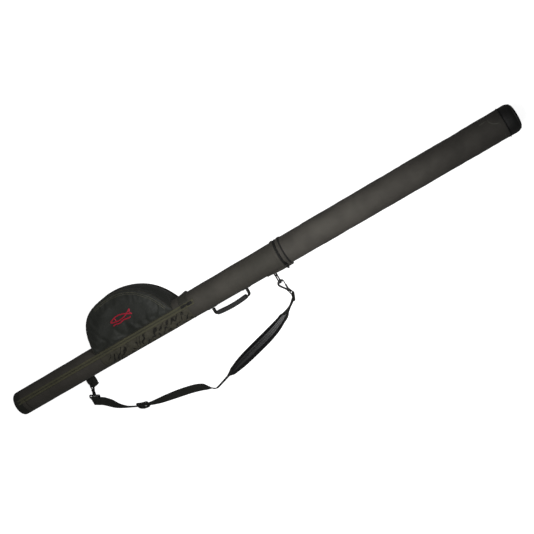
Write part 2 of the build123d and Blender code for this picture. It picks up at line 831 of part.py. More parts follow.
def bend_radii(points, name):
    """Largest arc that the two runs at each corner allow."""
    radii = []
    for before, corner, after in zip(points, points[1:], points[2:]):
        first = Vector(*corner) - Vector(*before)
        second = Vector(*after) - Vector(*corner)
        half_turn = radians(first.get_angle(second)) / 2
        radii.append(0.45 * min(first.length, second.length) / tan(half_turn))
    print(name, "radii", [round(radius, 1) for radius in radii])
    return radii


def flat_run(points, name, width, height, z_low):
    """Flat strip of a width and height along a route over the floor."""
    with BuildPart() as strip:
        with BuildLine():
            route = FilletPolyline(
                *[(x, y, z_low + height / 2) for x, y in points], radius=bend_radii(points, name)
            )
        with BuildSketch(Plane(origin=route @ 0, x_dir=(0, 0, 1), z_dir=route % 0)):
            Rectangle(height, width)
        sweep()
    section = width * height
    print(name, "length", round(route.length, 1))
    print(name, "volume", round(strip.part.volume), "section times length", round(section * route.length))
    return strip.part


strap_low = floor + strap_lift
backing_top = floor + shoulder_pad_lift + backing_height
save(flat_run(lower_route, "strap_lower", strap_width, strap_thickness, strap_low), "strap_lower")
save(flat_run(upper_route, "strap_upper", strap_width, strap_thickness, strap_low), "strap_upper")
save(flat_run(pad_route, "pad_backing", shoulder_pad_width, backing_height, floor + shoulder_pad_lift),
     "pad_backing")
save(flat_run(pad_route, "shoulder_pad", shoulder_pad_width, shoulder_pad_height, backing_top), "shoulder_pad")

before_adjuster = Vector(*lower_route[3])
after_adjuster = Vector(*lower_route[4])
adjuster_mid = (before_adjuster + after_adjuster) * 0.5
adjuster_plane = Plane(
    origin=(adjuster_mid.X, adjuster_mid.Y, strap_low + strap_thickness / 2),
    x_dir=(after_adjuster - before_adjuster).normalized(),
    z_dir=(0, 0, 1),
)
adjuster_bottom = -(strap_lift - adjuster_lift) - strap_thickness / 2
with BuildPart(adjuster_plane) as strap_adjuster:
    with Locations((0.0, 0.0, adjuster_bottom + adjuster_height / 2)):
        Box(adjuster_length, adjuster_width, adjuster_height)
    Box(2 * adjuster_length, strap_width + 2 * adjuster_clear, strap_thickness + 2 * adjuster_clear,
        mode=Mode.SUBTRACT)
    top = adjuster_bottom + adjuster_height
    for side in (-1, 1):
        with Locations((side * adjuster_length / 4, 0.0, top)):
            Box(adjuster_length / 4, strap_width, adjuster_height, mode=Mode.SUBTRACT)
save(strap_adjuster.part, "strap_adjuster")
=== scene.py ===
"""Looks of a two-section padded rod case lying on its back: fabric, zips, pouch, strap and hardware."""

import json
import logging
import math
from dataclasses import dataclass
from enum import Enum

import bpy
import numpy as np
from mathutils import Matrix, Vector
from mathutils.bvhtree import BVHTree

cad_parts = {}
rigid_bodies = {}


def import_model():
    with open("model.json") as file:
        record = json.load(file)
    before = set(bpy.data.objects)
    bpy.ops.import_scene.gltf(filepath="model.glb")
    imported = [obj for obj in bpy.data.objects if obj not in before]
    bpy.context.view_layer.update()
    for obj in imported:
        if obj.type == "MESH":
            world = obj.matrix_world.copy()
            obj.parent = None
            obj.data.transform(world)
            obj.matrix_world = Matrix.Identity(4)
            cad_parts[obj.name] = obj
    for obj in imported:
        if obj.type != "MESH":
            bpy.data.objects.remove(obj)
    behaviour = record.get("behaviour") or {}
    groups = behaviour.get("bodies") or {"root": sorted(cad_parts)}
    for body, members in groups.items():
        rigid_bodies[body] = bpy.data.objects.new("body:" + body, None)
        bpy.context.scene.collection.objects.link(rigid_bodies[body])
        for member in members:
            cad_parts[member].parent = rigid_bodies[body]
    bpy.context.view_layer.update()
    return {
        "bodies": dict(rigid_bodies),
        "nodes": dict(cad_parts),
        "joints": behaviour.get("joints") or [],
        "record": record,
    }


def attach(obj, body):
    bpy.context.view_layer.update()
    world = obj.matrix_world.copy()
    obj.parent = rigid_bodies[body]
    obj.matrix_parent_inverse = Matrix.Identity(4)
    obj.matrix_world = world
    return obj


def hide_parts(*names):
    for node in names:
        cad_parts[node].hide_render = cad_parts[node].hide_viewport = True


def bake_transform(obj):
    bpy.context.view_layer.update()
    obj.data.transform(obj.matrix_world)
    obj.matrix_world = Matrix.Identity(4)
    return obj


MM = 0.001
FLOOR = -40.5
LOWER_LENGTH = 917.0
MOUTH_RADIUS, BUTT_RADIUS = 38.5, 35.5
SLEEVE_WALL = 1.9
UP = np.array([0, 0, 1.0])
LOG = logging.getLogger("rod_case")


class Body(str, Enum):
    """CAD bodies that pieces ride on."""

    CASE = "case_body"
    UPPER = "upper_section"
    FLAP = "front_opening"
    HANDLE = "carry_handle"
    ADJUSTER = "adjuster"


# ---------------------------------------------------------------- geometry helpers


def spline(points: np.ndarray, count: int) -> np.ndarray:
    """Natural cubic spline through points, sampled evenly along its chord length.

    Args:
        points: (n, d) points that the curve passes through.
        count: How many samples to return.
    Returns:
        (count, d) samples.
    """
    pts = np.asarray(points, float)
    knots = np.r_[0.0, np.cumsum(np.linalg.norm(np.diff(pts, axis=0), axis=1))]
    gaps = np.diff(knots)
    size = len(pts)
    system = np.eye(size)
    right = np.zeros_like(pts)
    inner = np.arange(1, size - 1)
    system[inner, inner - 1] = gaps[:-1]
    system[inner, inner] = 2 * (gaps[:-1] + gaps[1:])
    system[inner, inner + 1] = gaps[1:]
    slopes = np.diff(pts, axis=0) / gaps[:, None]
    right[1:-1] = 6 * np.diff(slopes, axis=0)
    bend = np.linalg.solve(system, right)
    at = np.linspace(0, knots[-1], count)
    k = np.clip(np.searchsorted(knots, at, side="right") - 1, 0, size - 2)
    h, a, b = gaps[k][:, None], (knots[k + 1] - at)[:, None], (at - knots[k])[:, None]
    return (
        bend[k] * a**3 / (6 * h)
        + bend[k + 1] * b**3 / (6 * h)
        + (pts[k] / h - bend[k] * h / 6) * a
        + (pts[k + 1] / h - bend[k + 1] * h / 6) * b
    )


def resample(points: np.ndarray, step: float) -> np.ndarray:
    """Points at an even spacing of about step along a polyline."""
    along = np.r_[0.0, np.cumsum(np.linalg.norm(np.diff(points, axis=0), axis=1))]
    at = np.linspace(0, along[-1], max(2, int(round(along[-1] / step)) + 1))
    return np.stack([np.interp(at, along, points[:, k]) for k in range(points.shape[1])], -1)


def waves(u: np.ndarray, v: np.ndarray, pitch: float, seed: int, count: int = 9) -> np.ndarray:
    """Smooth irregular height between about -1 and 1: a sum of sine waves in random directions."""
    rng = np.random.default_rng(seed)
    angle = rng.uniform(0, math.pi, count)
    wave = 2 * math.pi / (pitch * rng.uniform(0.65, 1.6, count))
    phase = rng.uniform(0, 2 * math.pi, count)
    total = sum(
        np.sin(w * (np.cos(a) * u + np.sin(a) * v) + p) for a, w, p in zip(angle, wave, phase)
    )
    return total / math.sqrt(count)


def smooth(value: np.ndarray, low: float, high: float) -> np.ndarray:
    """0 below low, 1 above high, and an S curve between them."""
    t = np.clip((value - low) / (high - low), 0, 1)
    return t * t * (3 - 2 * t)


def sleeve_radius(x: np.ndarray) -> np.ndarray:
    """Outer radius of the tapered lower sleeve at x, in mm."""
    return MOUTH_RADIUS + (MOUTH_RADIUS - BUTT_RADIUS) / LOWER_LENGTH * np.minimum(x, 0.0)


def on_tube(x: np.ndarray, turn: np.ndarray, radius: np.ndarray) -> np.ndarray:
    """Points at a turn in degrees from +Z towards -Y, a radius from the tube's axis."""
    angle = np.radians(turn)
    x, angle, radius = np.broadcast_arrays(x, angle, radius)
    return np.stack([x, -radius * np.sin(angle), radius * np.cos(angle)], -1)


class Maker:
    """Builds meshes from numpy arrays given in millimetres."""

    @staticmethod
    def mesh(name: str, verts: np.ndarray, faces: list[np.ndarray], uvs: np.ndarray | None = None):
        """An object with these vertices and faces.

        Args:
            name: Object name.
            verts: (n, 3) vertices in mm.
            faces: Arrays of faces, each (k, corners).
            uvs: One (u, v) in mm per face corner, in the same order as the faces.
        Returns:
            The linked object, at the origin.
        """
        sizes = np.concatenate([np.full(len(f), f.shape[1]) for f in faces])
        loops = np.concatenate([f.ravel() for f in faces])
        used, loops = np.unique(loops, return_inverse=True)
        data = bpy.data.meshes.new(name)
        data.vertices.add(len(used))
        data.vertices.foreach_set("co", (verts[used] * MM).astype(np.float32).ravel())
        data.loops.add(len(loops))
        data.loops.foreach_set("vertex_index", loops.astype(np.int32).ravel())
        data.polygons.add(len(sizes))
        data.polygons.foreach_set("loop_start", np.r_[0, np.cumsum(sizes)[:-1]].astype(np.int32))
        data.polygons.foreach_set("use_smooth", np.ones(len(sizes), bool))
        layer = data.uv_layers.new(name="UVMap")
        if uvs is None:
            uvs = verts[used][loops.ravel()][:, :2]
        layer.uv.foreach_set("vector", (uvs * MM).astype(np.float32).ravel())
        data.update(calc_edges=True)
        data.validate()
        piece = bpy.data.objects.new(name, data)
        bpy.context.scene.collection.objects.link(piece)
        return piece

    @staticmethod
    def grid(
        name: str, points: np.ndarray, close_i=False, close_j=False, keep=None, flip=False, ends=False
    ):
        """A quad grid over an (n, m, 3) array of points.

        Args:
            name: Object name.
            points: Grid of points in mm.
            close_i: Joins the last row to the first.
            close_j: Joins the last column to the first.
            keep: Mask of the faces to keep, one per quad.
            flip: Turns the faces over.
            ends: Closes the first and last row, of a grid closed in j, with one face each.
        Returns:
            The object.
        """
        n, m = points.shape[:2]
        spans = np.arange(n if close_i else n - 1), np.arange(m if close_j else m - 1)
        i, j = np.meshgrid(*spans, indexing="ij")
        i2, j2 = (i + 1) % n, (j + 1) % m
        quads = np.stack([i * m + j, i2 * m + j, i2 * m + j2, i * m + j2], -1)
        rows = np.r_[0, np.cumsum(np.linalg.norm(np.diff(points, axis=0), axis=2).mean(1))]
        cols = np.r_[0, np.cumsum(np.linalg.norm(np.diff(points, axis=1), axis=2).mean(0))]
        rows, cols = np.r_[rows, 2 * rows[-1] - rows[-2]], np.r_[cols, 2 * cols[-1] - cols[-2]]
        corners = ((0, 0), (1, 0), (1, 1), (0, 1))
        uv = np.stack([np.stack([rows[i + a], cols[j + b]], -1) for a, b in corners], 2)
        mask = np.ones(i.shape, bool) if keep is None else keep
        quads, uv = quads[mask], uv[mask]
        if flip:
            quads, uv = quads[:, ::-1], uv[:, ::-1]
        faces, uvs = [quads], [uv.reshape(-1, 2)]
        if ends:
            caps = np.stack([np.arange(m), np.arange(m)[::-1] + (n - 1) * m])
            caps = caps[:, ::-1] if flip else caps
            faces.append(caps)
            uvs.append(points.reshape(-1, 3)[caps.ravel()][:, :2])
        return Maker.mesh(name, points.reshape(-1, 3), faces, np.concatenate(uvs))

    @staticmethod
    def copies(
        name: str, origins: np.ndarray, along: np.ndarray, up: np.ndarray, size: tuple[float, float, float]
    ):
        """Small blocks with narrowed tops, one at each origin, as one mesh.

        Args:
            name: Object name.
            origins: (k, 3) centres in mm.
            along: (k, 3) directions of the block's length.
            up: (k, 3) directions of the block's height.
            size: Length, width and height in mm.
        Returns:
            The object.
        """
        along = along / np.linalg.norm(along, axis=1, keepdims=True)
        side = np.cross(up, along)
        side /= np.linalg.norm(side, axis=1, keepdims=True)
        up = np.cross(along, side)
        base = np.array([[-1, -1], [1, -1], [1, 1], [-1, 1]], float) / 2
        levels = ((1.0, -0.5), (1.0, 0.1), (0.62, 0.5))
        block = np.concatenate([np.c_[base * wide, np.full(4, z)] for wide, z in levels]) * np.array(size)
        verts = origins[:, None] + np.einsum("vc,kcd->kvd", block, np.stack([along, side, up], 1))
        ring = np.arange(4)
        after = (ring + 1) % 4
        walls = [np.stack([ring + s, after + s, after + s + 4, ring + s + 4], -1) for s in (0, 4)]
        quads = np.concatenate([*walls, [[3, 2, 1, 0]], [[8, 9, 10, 11]]])
        shift = (np.arange(len(origins)) * 12)[:, None, None]
        return Maker.mesh(name, verts.reshape(-1, 3), [(quads[None] + shift).reshape(-1, 4)])

    @staticmethod
    def frames(path: np.ndarray, up: np.ndarray) -> tuple[np.ndarray, np.ndarray]:
        """Side and up directions along a path, square to it, close to the given up."""
        along = np.gradient(path, axis=0)
        along /= np.linalg.norm(along, axis=1, keepdims=True)
        side = np.cross(np.broadcast_to(up, path.shape), along)
        side /= np.linalg.norm(side, axis=1, keepdims=True)
        return side, np.cross(along, side)

    @staticmethod
    def sweep(name: str, path: np.ndarray, up: np.ndarray, section: np.ndarray, closed=False):
        """A section carried along a path.

        Args:
            name: Object name.
            path: (n, 3) points in mm.
            up: One direction or one per point.
            section: (m, 2) or (n, m, 2) outline as (side, up), counterclockwise.
            closed: Joins the end to the start.
        Returns:
            The object, capped unless it is closed.
        """
        if closed:
            padded = np.concatenate([path[-2:], path, path[:2]])
            side, high = (a[2:-2] for a in Maker.frames(padded, np.asarray(up, float)))
        else:
            side, high = Maker.frames(path, np.asarray(up, float))
        section = np.broadcast_to(section, (len(path), *section.shape[-2:]))
        points = path[:, None] + section[..., :1] * side[:, None] + section[..., 1:] * high[:, None]
        return Maker.grid(name, points, close_i=closed, close_j=True, flip=True, ends=not closed)

    @staticmethod
    def lathe(name: str, profile: np.ndarray, around: int = 128, floor: float | None = None):
        """A closed (x, radius) profile turned about the X axis, flattened where it would pass the floor."""
        turn = np.arange(around) * 360 / around
        points = on_tube(profile[:, None, 0], turn[None], profile[:, None, 1])
        if floor is not None:
            points[..., 2] = np.maximum(points[..., 2], floor)
        return Maker.grid(name, points, close_i=True, close_j=True)


def ellipse(half_side: float, half_up: float, count: int = 12) -> np.ndarray:
    """An elliptical section, counterclockwise."""
    t = np.arange(count) * 2 * math.pi / count
    return np.stack([half_side * np.cos(t), half_up * np.sin(t)], -1)


def band(width: float, thick: float, power: float = 5.0, count: int = 20) -> np.ndarray:
    """A flat strap's section with rounded edges: a squarish superellipse."""
    t = np.arange(count) * 2 * math.pi / count
    c, s = np.cos(t), np.sin(t)
    across = width / 2 * np.sign(c) * np.abs(c) ** (2 / power)
    high = thick / 2 * np.sign(s) * np.abs(s) ** (2 / power)
    return np.stack([across, high], -1)


# ---------------------------------------------------------------- materials


def linear(red: int, green: int, blue: int) -> tuple[float, float, float, float]:
    """An sRGB colour of 0 to 255 as linear RGBA."""
    c = np.array([red, green, blue]) / 255
    lin = np.where(c <= 0.04045, c / 12.92, ((c + 0.055) / 1.055) ** 2.4)
    return (*map(float, lin), 1.0)


def preset(node, **values) -> None:
    """Sets a node's inputs; an underscore stands for a space in an input's name."""
    for label, value in values.items():
        node.inputs[label.replace("_", " ")].default_value = value


def blank(name: str) -> tuple:
    """A new material, its node tree and its shader."""
    mat = bpy.data.materials.new(name)
    mat.use_nodes = True
    return mat, mat.node_tree, mat.node_tree.nodes["Principled BSDF"]


class Groups:
    """Node groups shared by several materials."""

    @staticmethod
    def cloth() -> bpy.types.NodeTree:
        """Woven cloth: crossing threads from a vector in metres, plus uneven colour and soft creases.

        Height is the sum of two sets of sine ridges at right angles and of a broad noise.
        """
        name = "ClothSurface"
        if name in bpy.data.node_groups:
            return bpy.data.node_groups[name]
        tree = bpy.data.node_groups.new(name, "ShaderNodeTree")
        put = tree.interface.new_socket
        put("Vector", in_out="INPUT", socket_type="NodeSocketVector")
        for label, value in (("Threads", 900.0), ("Relief", 0.3), ("Crease", 0.3), ("Crease Scale", 30.0)):
            put(label, in_out="INPUT", socket_type="NodeSocketFloat").default_value = value
        put("Normal", in_out="OUTPUT", socket_type="NodeSocketVector")
        put("Shade", in_out="OUTPUT", socket_type="NodeSocketFloat")
        new, link = tree.nodes.new, tree.links.new
        source, result = new("NodeGroupInput"), new("NodeGroupOutput")
        split = new("ShaderNodeSeparateXYZ")
        link(source.outputs["Vector"], split.inputs[0])

        def calc(operation: str, first, second=None):
            """The output of a maths node on one or two sockets."""
            node = new("ShaderNodeMath")
            node.operation = operation
            link(first, node.inputs[0])
            if second is not None:
                link(second, node.inputs[1])
            return node.outputs[0]

        ridges = [calc("SINE", calc("MULTIPLY", axis, source.outputs["Threads"])) for axis in split.outputs]
        total = calc("ADD", calc("ADD", ridges[0], ridges[1]), ridges[2])
        place = new("ShaderNodeTexCoord")
        noise = new("ShaderNodeTexNoise")
        preset(noise, Detail=3.0)
        link(place.outputs["Object"], noise.inputs["Vector"])
        link(source.outputs["Crease Scale"], noise.inputs["Scale"])
        fine, broad = new("ShaderNodeBump"), new("ShaderNodeBump")
        preset(fine, Distance=0.0002)
        preset(broad, Distance=0.006)
        link(source.outputs["Relief"], fine.inputs["Strength"])
        link(total, fine.inputs["Height"])
        link(source.outputs["Crease"], broad.inputs["Strength"])
        link(noise.outputs["Fac"], broad.inputs["Height"])
        link(broad.outputs[0], fine.inputs["Normal"])
        link(fine.outputs[0], result.inputs["Normal"])
        patches = new("ShaderNodeTexNoise")
        preset(patches, Scale=14.0, Detail=5.0)
        link(place.outputs["Object"], patches.inputs["Vector"])
        shade = new("ShaderNodeMapRange")
        preset(shade, From_Min=0.3, From_Max=0.7, To_Min=0.0, To_Max=1.0)
        link(patches.outputs["Fac"], shade.inputs["Value"])
        link(shade.outputs[0], result.inputs["Shade"])
        return tree


@dataclass(frozen=True)
class Cloth:
    """A woven or padded cloth finish.

    Args:
        name: Material name.
        light: sRGB colour of the lighter patches.
        dark: sRGB colour of the darker patches.
        rough: Surface roughness.
        threads: Radians of thread pattern per metre.
        relief: Strength of the threads.
        crease: Strength of the soft creases.
        crease_scale: Creases per metre.
        sheen: Weight of the sheen.
        spread: True where the pattern follows the piece's own UV.
        shade_and_stain_attribute: Attribute of 0 to 1 that darkens the colour, where there is one: painted
            shade in fold valleys and at the upper sleeve's end, and faint stains.
    """

    name: str
    light: tuple[int, int, int]
    dark: tuple[int, int, int]
    rough: float = 0.75
    threads: float = 4200.0
    relief: float = 0.35
    crease: float = 0.12
    crease_scale: float = 35.0
    sheen: float = 0.05
    spread: bool = True
    shade_and_stain_attribute: str = ""

    def material(self) -> bpy.types.Material:
        """The Blender material, made once."""
        if self.name in bpy.data.materials:
            return bpy.data.materials[self.name]
        mat, tree, shader = blank(self.name)
        preset(shader, Roughness=self.rough, Sheen_Weight=self.sheen, Specular_IOR_Level=0.35)
        group = tree.nodes.new("ShaderNodeGroup")
        group.node_tree = Groups.cloth()
        preset(group, Threads=self.threads, Relief=self.relief)
        preset(group, Crease=self.crease, Crease_Scale=self.crease_scale)
        place = tree.nodes.new("ShaderNodeTexCoord")
        tree.links.new(place.outputs["UV" if self.spread else "Object"], group.inputs["Vector"])
        mix = tree.nodes.new("ShaderNodeMix")
        mix.data_type = "RGBA"
        mix.inputs["A"].default_value = linear(*self.dark)
        mix.inputs["B"].default_value = linear(*self.light)
        tree.links.new(group.outputs["Shade"], mix.inputs["Factor"])
        colour = mix.outputs["Result"]
        # The attribute mixes towards a third of the dark colour: painted shade, and faint stains where the
        # attribute holds them
        if self.shade_and_stain_attribute:
            depth = tree.nodes.new("ShaderNodeAttribute")
            depth.attribute_name = self.shade_and_stain_attribute
            shade_and_stain_mix = tree.nodes.new("ShaderNodeMix")
            shade_and_stain_mix.data_type = "RGBA"
            tree.links.new(depth.outputs["Fac"], shade_and_stain_mix.inputs["Factor"])
            tree.links.new(colour, shade_and_stain_mix.inputs["A"])
            shade_and_stain_mix.inputs["B"].default_value = linear(*[c // 3 for c in self.dark])
            colour = shade_and_stain_mix.outputs["Result"]
        tree.links.new(colour, shader.inputs["Base Color"])
        tree.links.new(group.outputs["Normal"], shader.inputs["Normal"])
        return mat


@dataclass(frozen=True)
class Solid:
    """A plain hard or glossy finish with slight unevenness.

    Args:
        name: Material name.
        colour: sRGB colour.
        rough: Surface roughness.
        metal: Metallic share.
        coat: Clear coat weight.
        grain: Strength of the fine surface grain.
        grain_scale: Grains per metre.
    """

    name: str
    colour: tuple[int, int, int]
    rough: float = 0.4
    metal: float = 0.0
    coat: float = 0.0
    grain: float = 0.08
    grain_scale: float = 400.0

    def material(self) -> bpy.types.Material:
        """The Blender material, made once."""
        if self.name in bpy.data.materials:
            return bpy.data.materials[self.name]
        mat, tree, shader = blank(self.name)
        preset(shader, Base_Color=linear(*self.colour), Metallic=self.metal, Coat_Weight=self.coat)
        place = tree.nodes.new("ShaderNodeTexCoord")
        noise = tree.nodes.new("ShaderNodeTexNoise")
        preset(noise, Scale=self.grain_scale)
        tree.links.new(place.outputs["Object"], noise.inputs["Vector"])
        spread = tree.nodes.new("ShaderNodeMapRange")
        preset(spread, To_Min=self.rough * 0.85, To_Max=min(1.0, self.rough * 1.15))
        tree.links.new(noise.outputs["Fac"], spread.inputs["Value"])
        tree.links.new(spread.outputs[0], shader.inputs["Roughness"])
        bump = tree.nodes.new("ShaderNodeBump")
        preset(bump, Strength=self.grain, Distance=0.0004)
        tree.links.new(noise.outputs["Fac"], bump.inputs["Height"])
        tree.links.new(bump.outputs[0], shader.inputs["Normal"])
        return mat


SLEEVE = Cloth("olive_sleeve", (72, 69, 63), (60, 58, 52), crease=0.14)
# Lighter copy of the sleeve's olive for the upper half: painted light over its middle; the fold attribute
# adds painted shade towards the cap and faint stains
SLEEVE_STAINS_AND_PAINTED_LIGHT = Cloth("olive_stains_and_painted_light", (80, 77, 71), (67, 64, 59), crease=0.14, shade_and_stain_attribute="fold")
POUCH = Cloth(
    "olive_pouch", (46, 48, 43), (36, 38, 34), rough=0.5, crease=0.35, crease_scale=24, spread=False
)
# The fold attribute darkens the valleys of the gathers: painted shade
GATHER = Cloth("olive_gather", (80, 77, 64), (64, 62, 52), crease=0.25, crease_scale=60, shade_and_stain_attribute="fold")
TRIM = Cloth("olive_trim", (58, 57, 50), (47, 47, 41), threads=5200)
TAPE = Cloth("olive_tape", (88, 86, 66), (76, 75, 58), threads=6500, crease=0.02)
DARK_TAPE = Cloth("dark_tape", (26, 26, 24), (20, 20, 18), threads=6500, crease=0.02)
CAP = Cloth("black_cap", (23, 23, 22), (16, 16, 15), rough=0.6, crease=0.12)
# Darker than the sleeve's olive: painted shade of the butt end, which is the same olive as the tube
BUTT = Cloth("butt_cloth", (44, 45, 39), (33, 34, 29), rough=0.6, crease=0.14)
# Lighter than the sleeve: a painted highlight along the raised patch line
PAINTED_HIGHLIGHT_LINE = Cloth("painted_highlight_line", (84, 86, 77), (70, 72, 64), rough=0.6)
WEB = Cloth("dark_webbing", (34, 35, 30), (25, 26, 22), threads=3600, relief=0.6, crease=0.02)
LINING = Cloth("grey_lining", (42, 42, 41), (34, 34, 33), crease=0.1, spread=False)
FELT = Cloth("black_felt", (18, 18, 19), (12, 12, 13), rough=0.95, crease=0.2, spread=False)
THREAD = Solid("olive_thread", (112, 109, 86), rough=0.6)
DARK_THREAD = Solid("dark_thread", (22, 22, 20), rough=0.6)
RED_THREAD = Solid("red_thread", (176, 16, 50), rough=0.5, grain=0.4, grain_scale=1600)
COIL = Solid("black_coil", (16, 16, 15), rough=0.4)
OLIVE_COIL = Solid("olive_coil", (52, 51, 42), rough=0.45)
METAL = Solid("gunmetal", (22, 22, 21), rough=0.6, metal=0.25)
STEEL = Solid("light_wire", (58, 57, 54), rough=0.5, metal=0.5)
PLASTIC = Solid("black_plastic", (20, 20, 19), rough=0.42, grain=0.15)
LINER = Solid("grey_tube", (44, 44, 43), rough=0.45)
VINYL = Solid("black_vinyl", (16, 16, 18), rough=0.32, coat=0.25, grain=0.3, grain_scale=900)
RUBBER = Solid("grip_rubber", (26, 27, 26), rough=0.62, grain=0.4, grain_scale=1200)


class Dresser:
    """Finishing steps that every piece takes."""

    @staticmethod
    def finish(piece, look, body: Body | None, slot: str, nodes: tuple[str, ...] = (), thick: float = 0.0):
        """Gives a piece its material, its wall and its body, and hides the CAD nodes that it stands for.

        Args:
            piece: The object.
            look: A Cloth or Solid finish.
            body: The body that it rides on, or None to leave it on no body.
            slot: Material slot name of the record; not used.
            nodes: CAD nodes that aren't shown any more.
            thick: Inward wall thickness in mm, if it is a surface.
        Returns:
            The piece.
        """
        piece.data.materials.clear()
        piece.data.materials.append(look.material())
        if thick:
            wall = piece.modifiers.new("Wall", "SOLIDIFY")
            wall.thickness = thick * MM
            wall.offset = -1.0
        if body is not None:
            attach(piece, body.value)
        if nodes:
            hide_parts(*nodes)
        LOG.info("made %s", piece.name)
        return piece

    @staticmethod
    def paint_shade_and_stains(piece, depth: np.ndarray) -> None:
        """Stores a darkening of 0 to 1 per vertex, painted shade and faint stains, for the finishes that
        read it.
        """
        layer = piece.data.attributes.new("fold", "FLOAT", "POINT")
        layer.data.foreach_set("value", depth.astype(np.float32).ravel())

    @staticmethod
    def stitches(
        name: str, path: np.ndarray, up: np.ndarray, look, body: Body, slot: str, length: float = 2.6
    ):
        """A row of stitches along a path, standing along up."""
        points = resample(path, length * 1.45)
        up = np.broadcast_to(up, points.shape) if np.ndim(up) == 1 else resample(up, length * 1.45)
        if up.shape != points.shape:
            index = np.linspace(0, len(up) - 1, len(points)).round().astype(int)
            up = up[index]
        row = Maker.copies(name, points, np.gradient(points, axis=0), up, (length, 0.7, 0.5))
        return Dresser.finish(row, look, body, slot)


# ---------------------------------------------------------------- the lower half


@dataclass
class LowerTube:
    """The tapered lower half: sleeve with its two windows, opening front, long zip and butt cap."""

    butt: float = -890.0
    flap_start: float = -878.0
    flap_end: float = -303.0
    gather_start: float = -607.0
    window_start: float = -608.0
    window_end: float = -346.0
    window_turn: float = -111.0
    zip_turn: float = -8.5
    zip_start: float = -902.0
    zip_end: float = -279.0
    tape_half: float = 7.0
    fuller: float = 0.7
    patch_start: float = -323.5
    patch_end: float = -292.0

    def sleeve(self) -> None:
        """Tapered sleeve, open at the zip band, at the front flap and into the pouch.

        The surface is the taper's radius plus slow waves of up to a third of a millimetre.
        """
        half = math.degrees(self.tape_half / 38.0) + 0.3
        flap = self.flap_start - 0.3, self.flap_end + 0.3
        edges = [*flap, self.window_start, self.window_end, self.zip_end, -1.0]
        x = np.unique(np.round(np.r_[np.arange(self.butt, -1, 3.0), edges], 3))
        low, high = self.zip_turn - half, self.zip_turn + half
        turn = np.unique(
            np.round(np.r_[np.arange(-180, 180, 4.0), low, high, 0.0, 90.0, self.window_turn], 3)
        )
        gx, gt = np.meshgrid(x, turn, indexing="ij")
        calm = smooth(gx, self.butt, self.butt + 20) * smooth(-gx, 1, 20)
        height = 0.3 * waves(gx, gt * 0.67, 90, 4) * calm - 0.35 * calm
        points = on_tube(gx, gt, sleeve_radius(gx) + self.fuller + np.minimum(height, 0.0))
        mx = (x[:-1] + x[1:])[:, None] / 2
        mt = np.r_[(turn[:-1] + turn[1:]) / 2, 179.0][None]
        in_zip = (mt > low) & (mt < high) & (mx < self.zip_end)
        in_flap = (mt > self.zip_turn) & (mt < 90)
        in_flap = in_flap & (mx > self.flap_start - 0.4) & (mx < self.flap_end + 0.4)
        in_pouch = (mt > self.window_turn) & (mt < low) & (mx > self.window_start) & (mx < self.window_end)
        keep = ~(in_zip | in_flap | in_pouch)
        piece = Maker.grid("lower_sleeve_cloth", points, close_j=True, keep=keep, flip=True)
        Dresser.finish(piece, SLEEVE, Body.CASE, "sleeve_fabric", ("lower_sleeve",), thick=SLEEVE_WALL)

    def flaps(self) -> None:
        """Front flap, smooth near the butt and gathered by elastic beside the pouch.

        The gathers are sharp valleys: one minus the size of a sine whose phase is bent by slow waves.
        """
        edge = 2.0
        turn = np.linspace(edge, 88.6, 46)
        across = smooth(turn, edge, edge + 9) * smooth(-turn, -88, -78)
        plain_x = np.arange(self.flap_start, self.gather_start + 0.1, 3.0)
        gathered_x = np.linspace(self.gather_start + 0.4, self.flap_end, 260)
        parts = (
            ("front_flap_cloth", "front_flap", plain_x, 0.35),
            ("gathered_flap_cloth", "gathered_flap", gathered_x, 3.2),
        )
        for name, node, x, depth in parts:
            gx, gt = np.meshgrid(x, turn, indexing="ij")
            arc = gt * 0.66
            bend = 1.0 * waves(gx, arc, 60, 11) + 0.55 * waves(gx, arc, 24, 12)
            across_fold = np.abs(np.sin(math.pi * (gx * 0.9 + arc * 0.62) / 21 + bend))
            crease = smooth(-across_fold, -0.72 - 0.2 * waves(gx, arc, 40, 15), -0.12)
            crease *= smooth(waves(gx, arc, 26, 14) + 0.016 * (arc - 10), -1.1, 0.1)
            inside = smooth(gx, x[0], x[0] + 40) * smooth(-gx, -x[-1], -x[-1] + 14) * across[None]
            rise = depth * inside * (0.5 * waves(gx, arc, 30, 13) - 1.2 * crease)
            radius = sleeve_radius(gx) - 0.5 + np.minimum(rise, 1.2)
            edge_drop = 0.9 * (1 - smooth(gt, edge, edge + 5))
            points = on_tube(gx, gt, radius - edge_drop)
            look = GATHER if depth > 1 else SLEEVE
            piece = Maker.grid(name, points, flip=True)
            # Painted shade in the valleys of the gathers
            if depth > 1:
                Dresser.paint_shade_and_stains(piece, 0.95 * inside * crease**1.4)
            Dresser.finish(piece, look, Body.FLAP, "sleeve_fabric", (node,), thick=1.6)
        x = np.linspace(self.flap_end - 26, self.flap_end - 2, 30)
        lean = np.linspace(6, 88, 30)
        seam = on_tube(x, lean, sleeve_radius(x) + 0.1)
        Dresser.finish(
            Maker.sweep("flap_end_seam", seam, on_tube(0 * x, lean, 1.0), ellipse(1.0, 0.7, 8)),
            TRIM, Body.FLAP, "binding",
        )

    def zip_point(self, x: np.ndarray, offset: np.ndarray, level: np.ndarray) -> np.ndarray:
        """A point of the zip: x along it, offset towards +Y, level above the sleeve."""
        a = math.radians(self.zip_turn)
        out, across = np.array([0, -math.sin(a), math.cos(a)]), np.array([0, math.cos(a), math.sin(a)])
        x, offset, level = np.broadcast_arrays(x, offset, level)
        radius = (sleeve_radius(x) + level)[..., None]
        return np.stack([x, 0 * x, 0 * x], -1) + out * radius + across * offset[..., None]

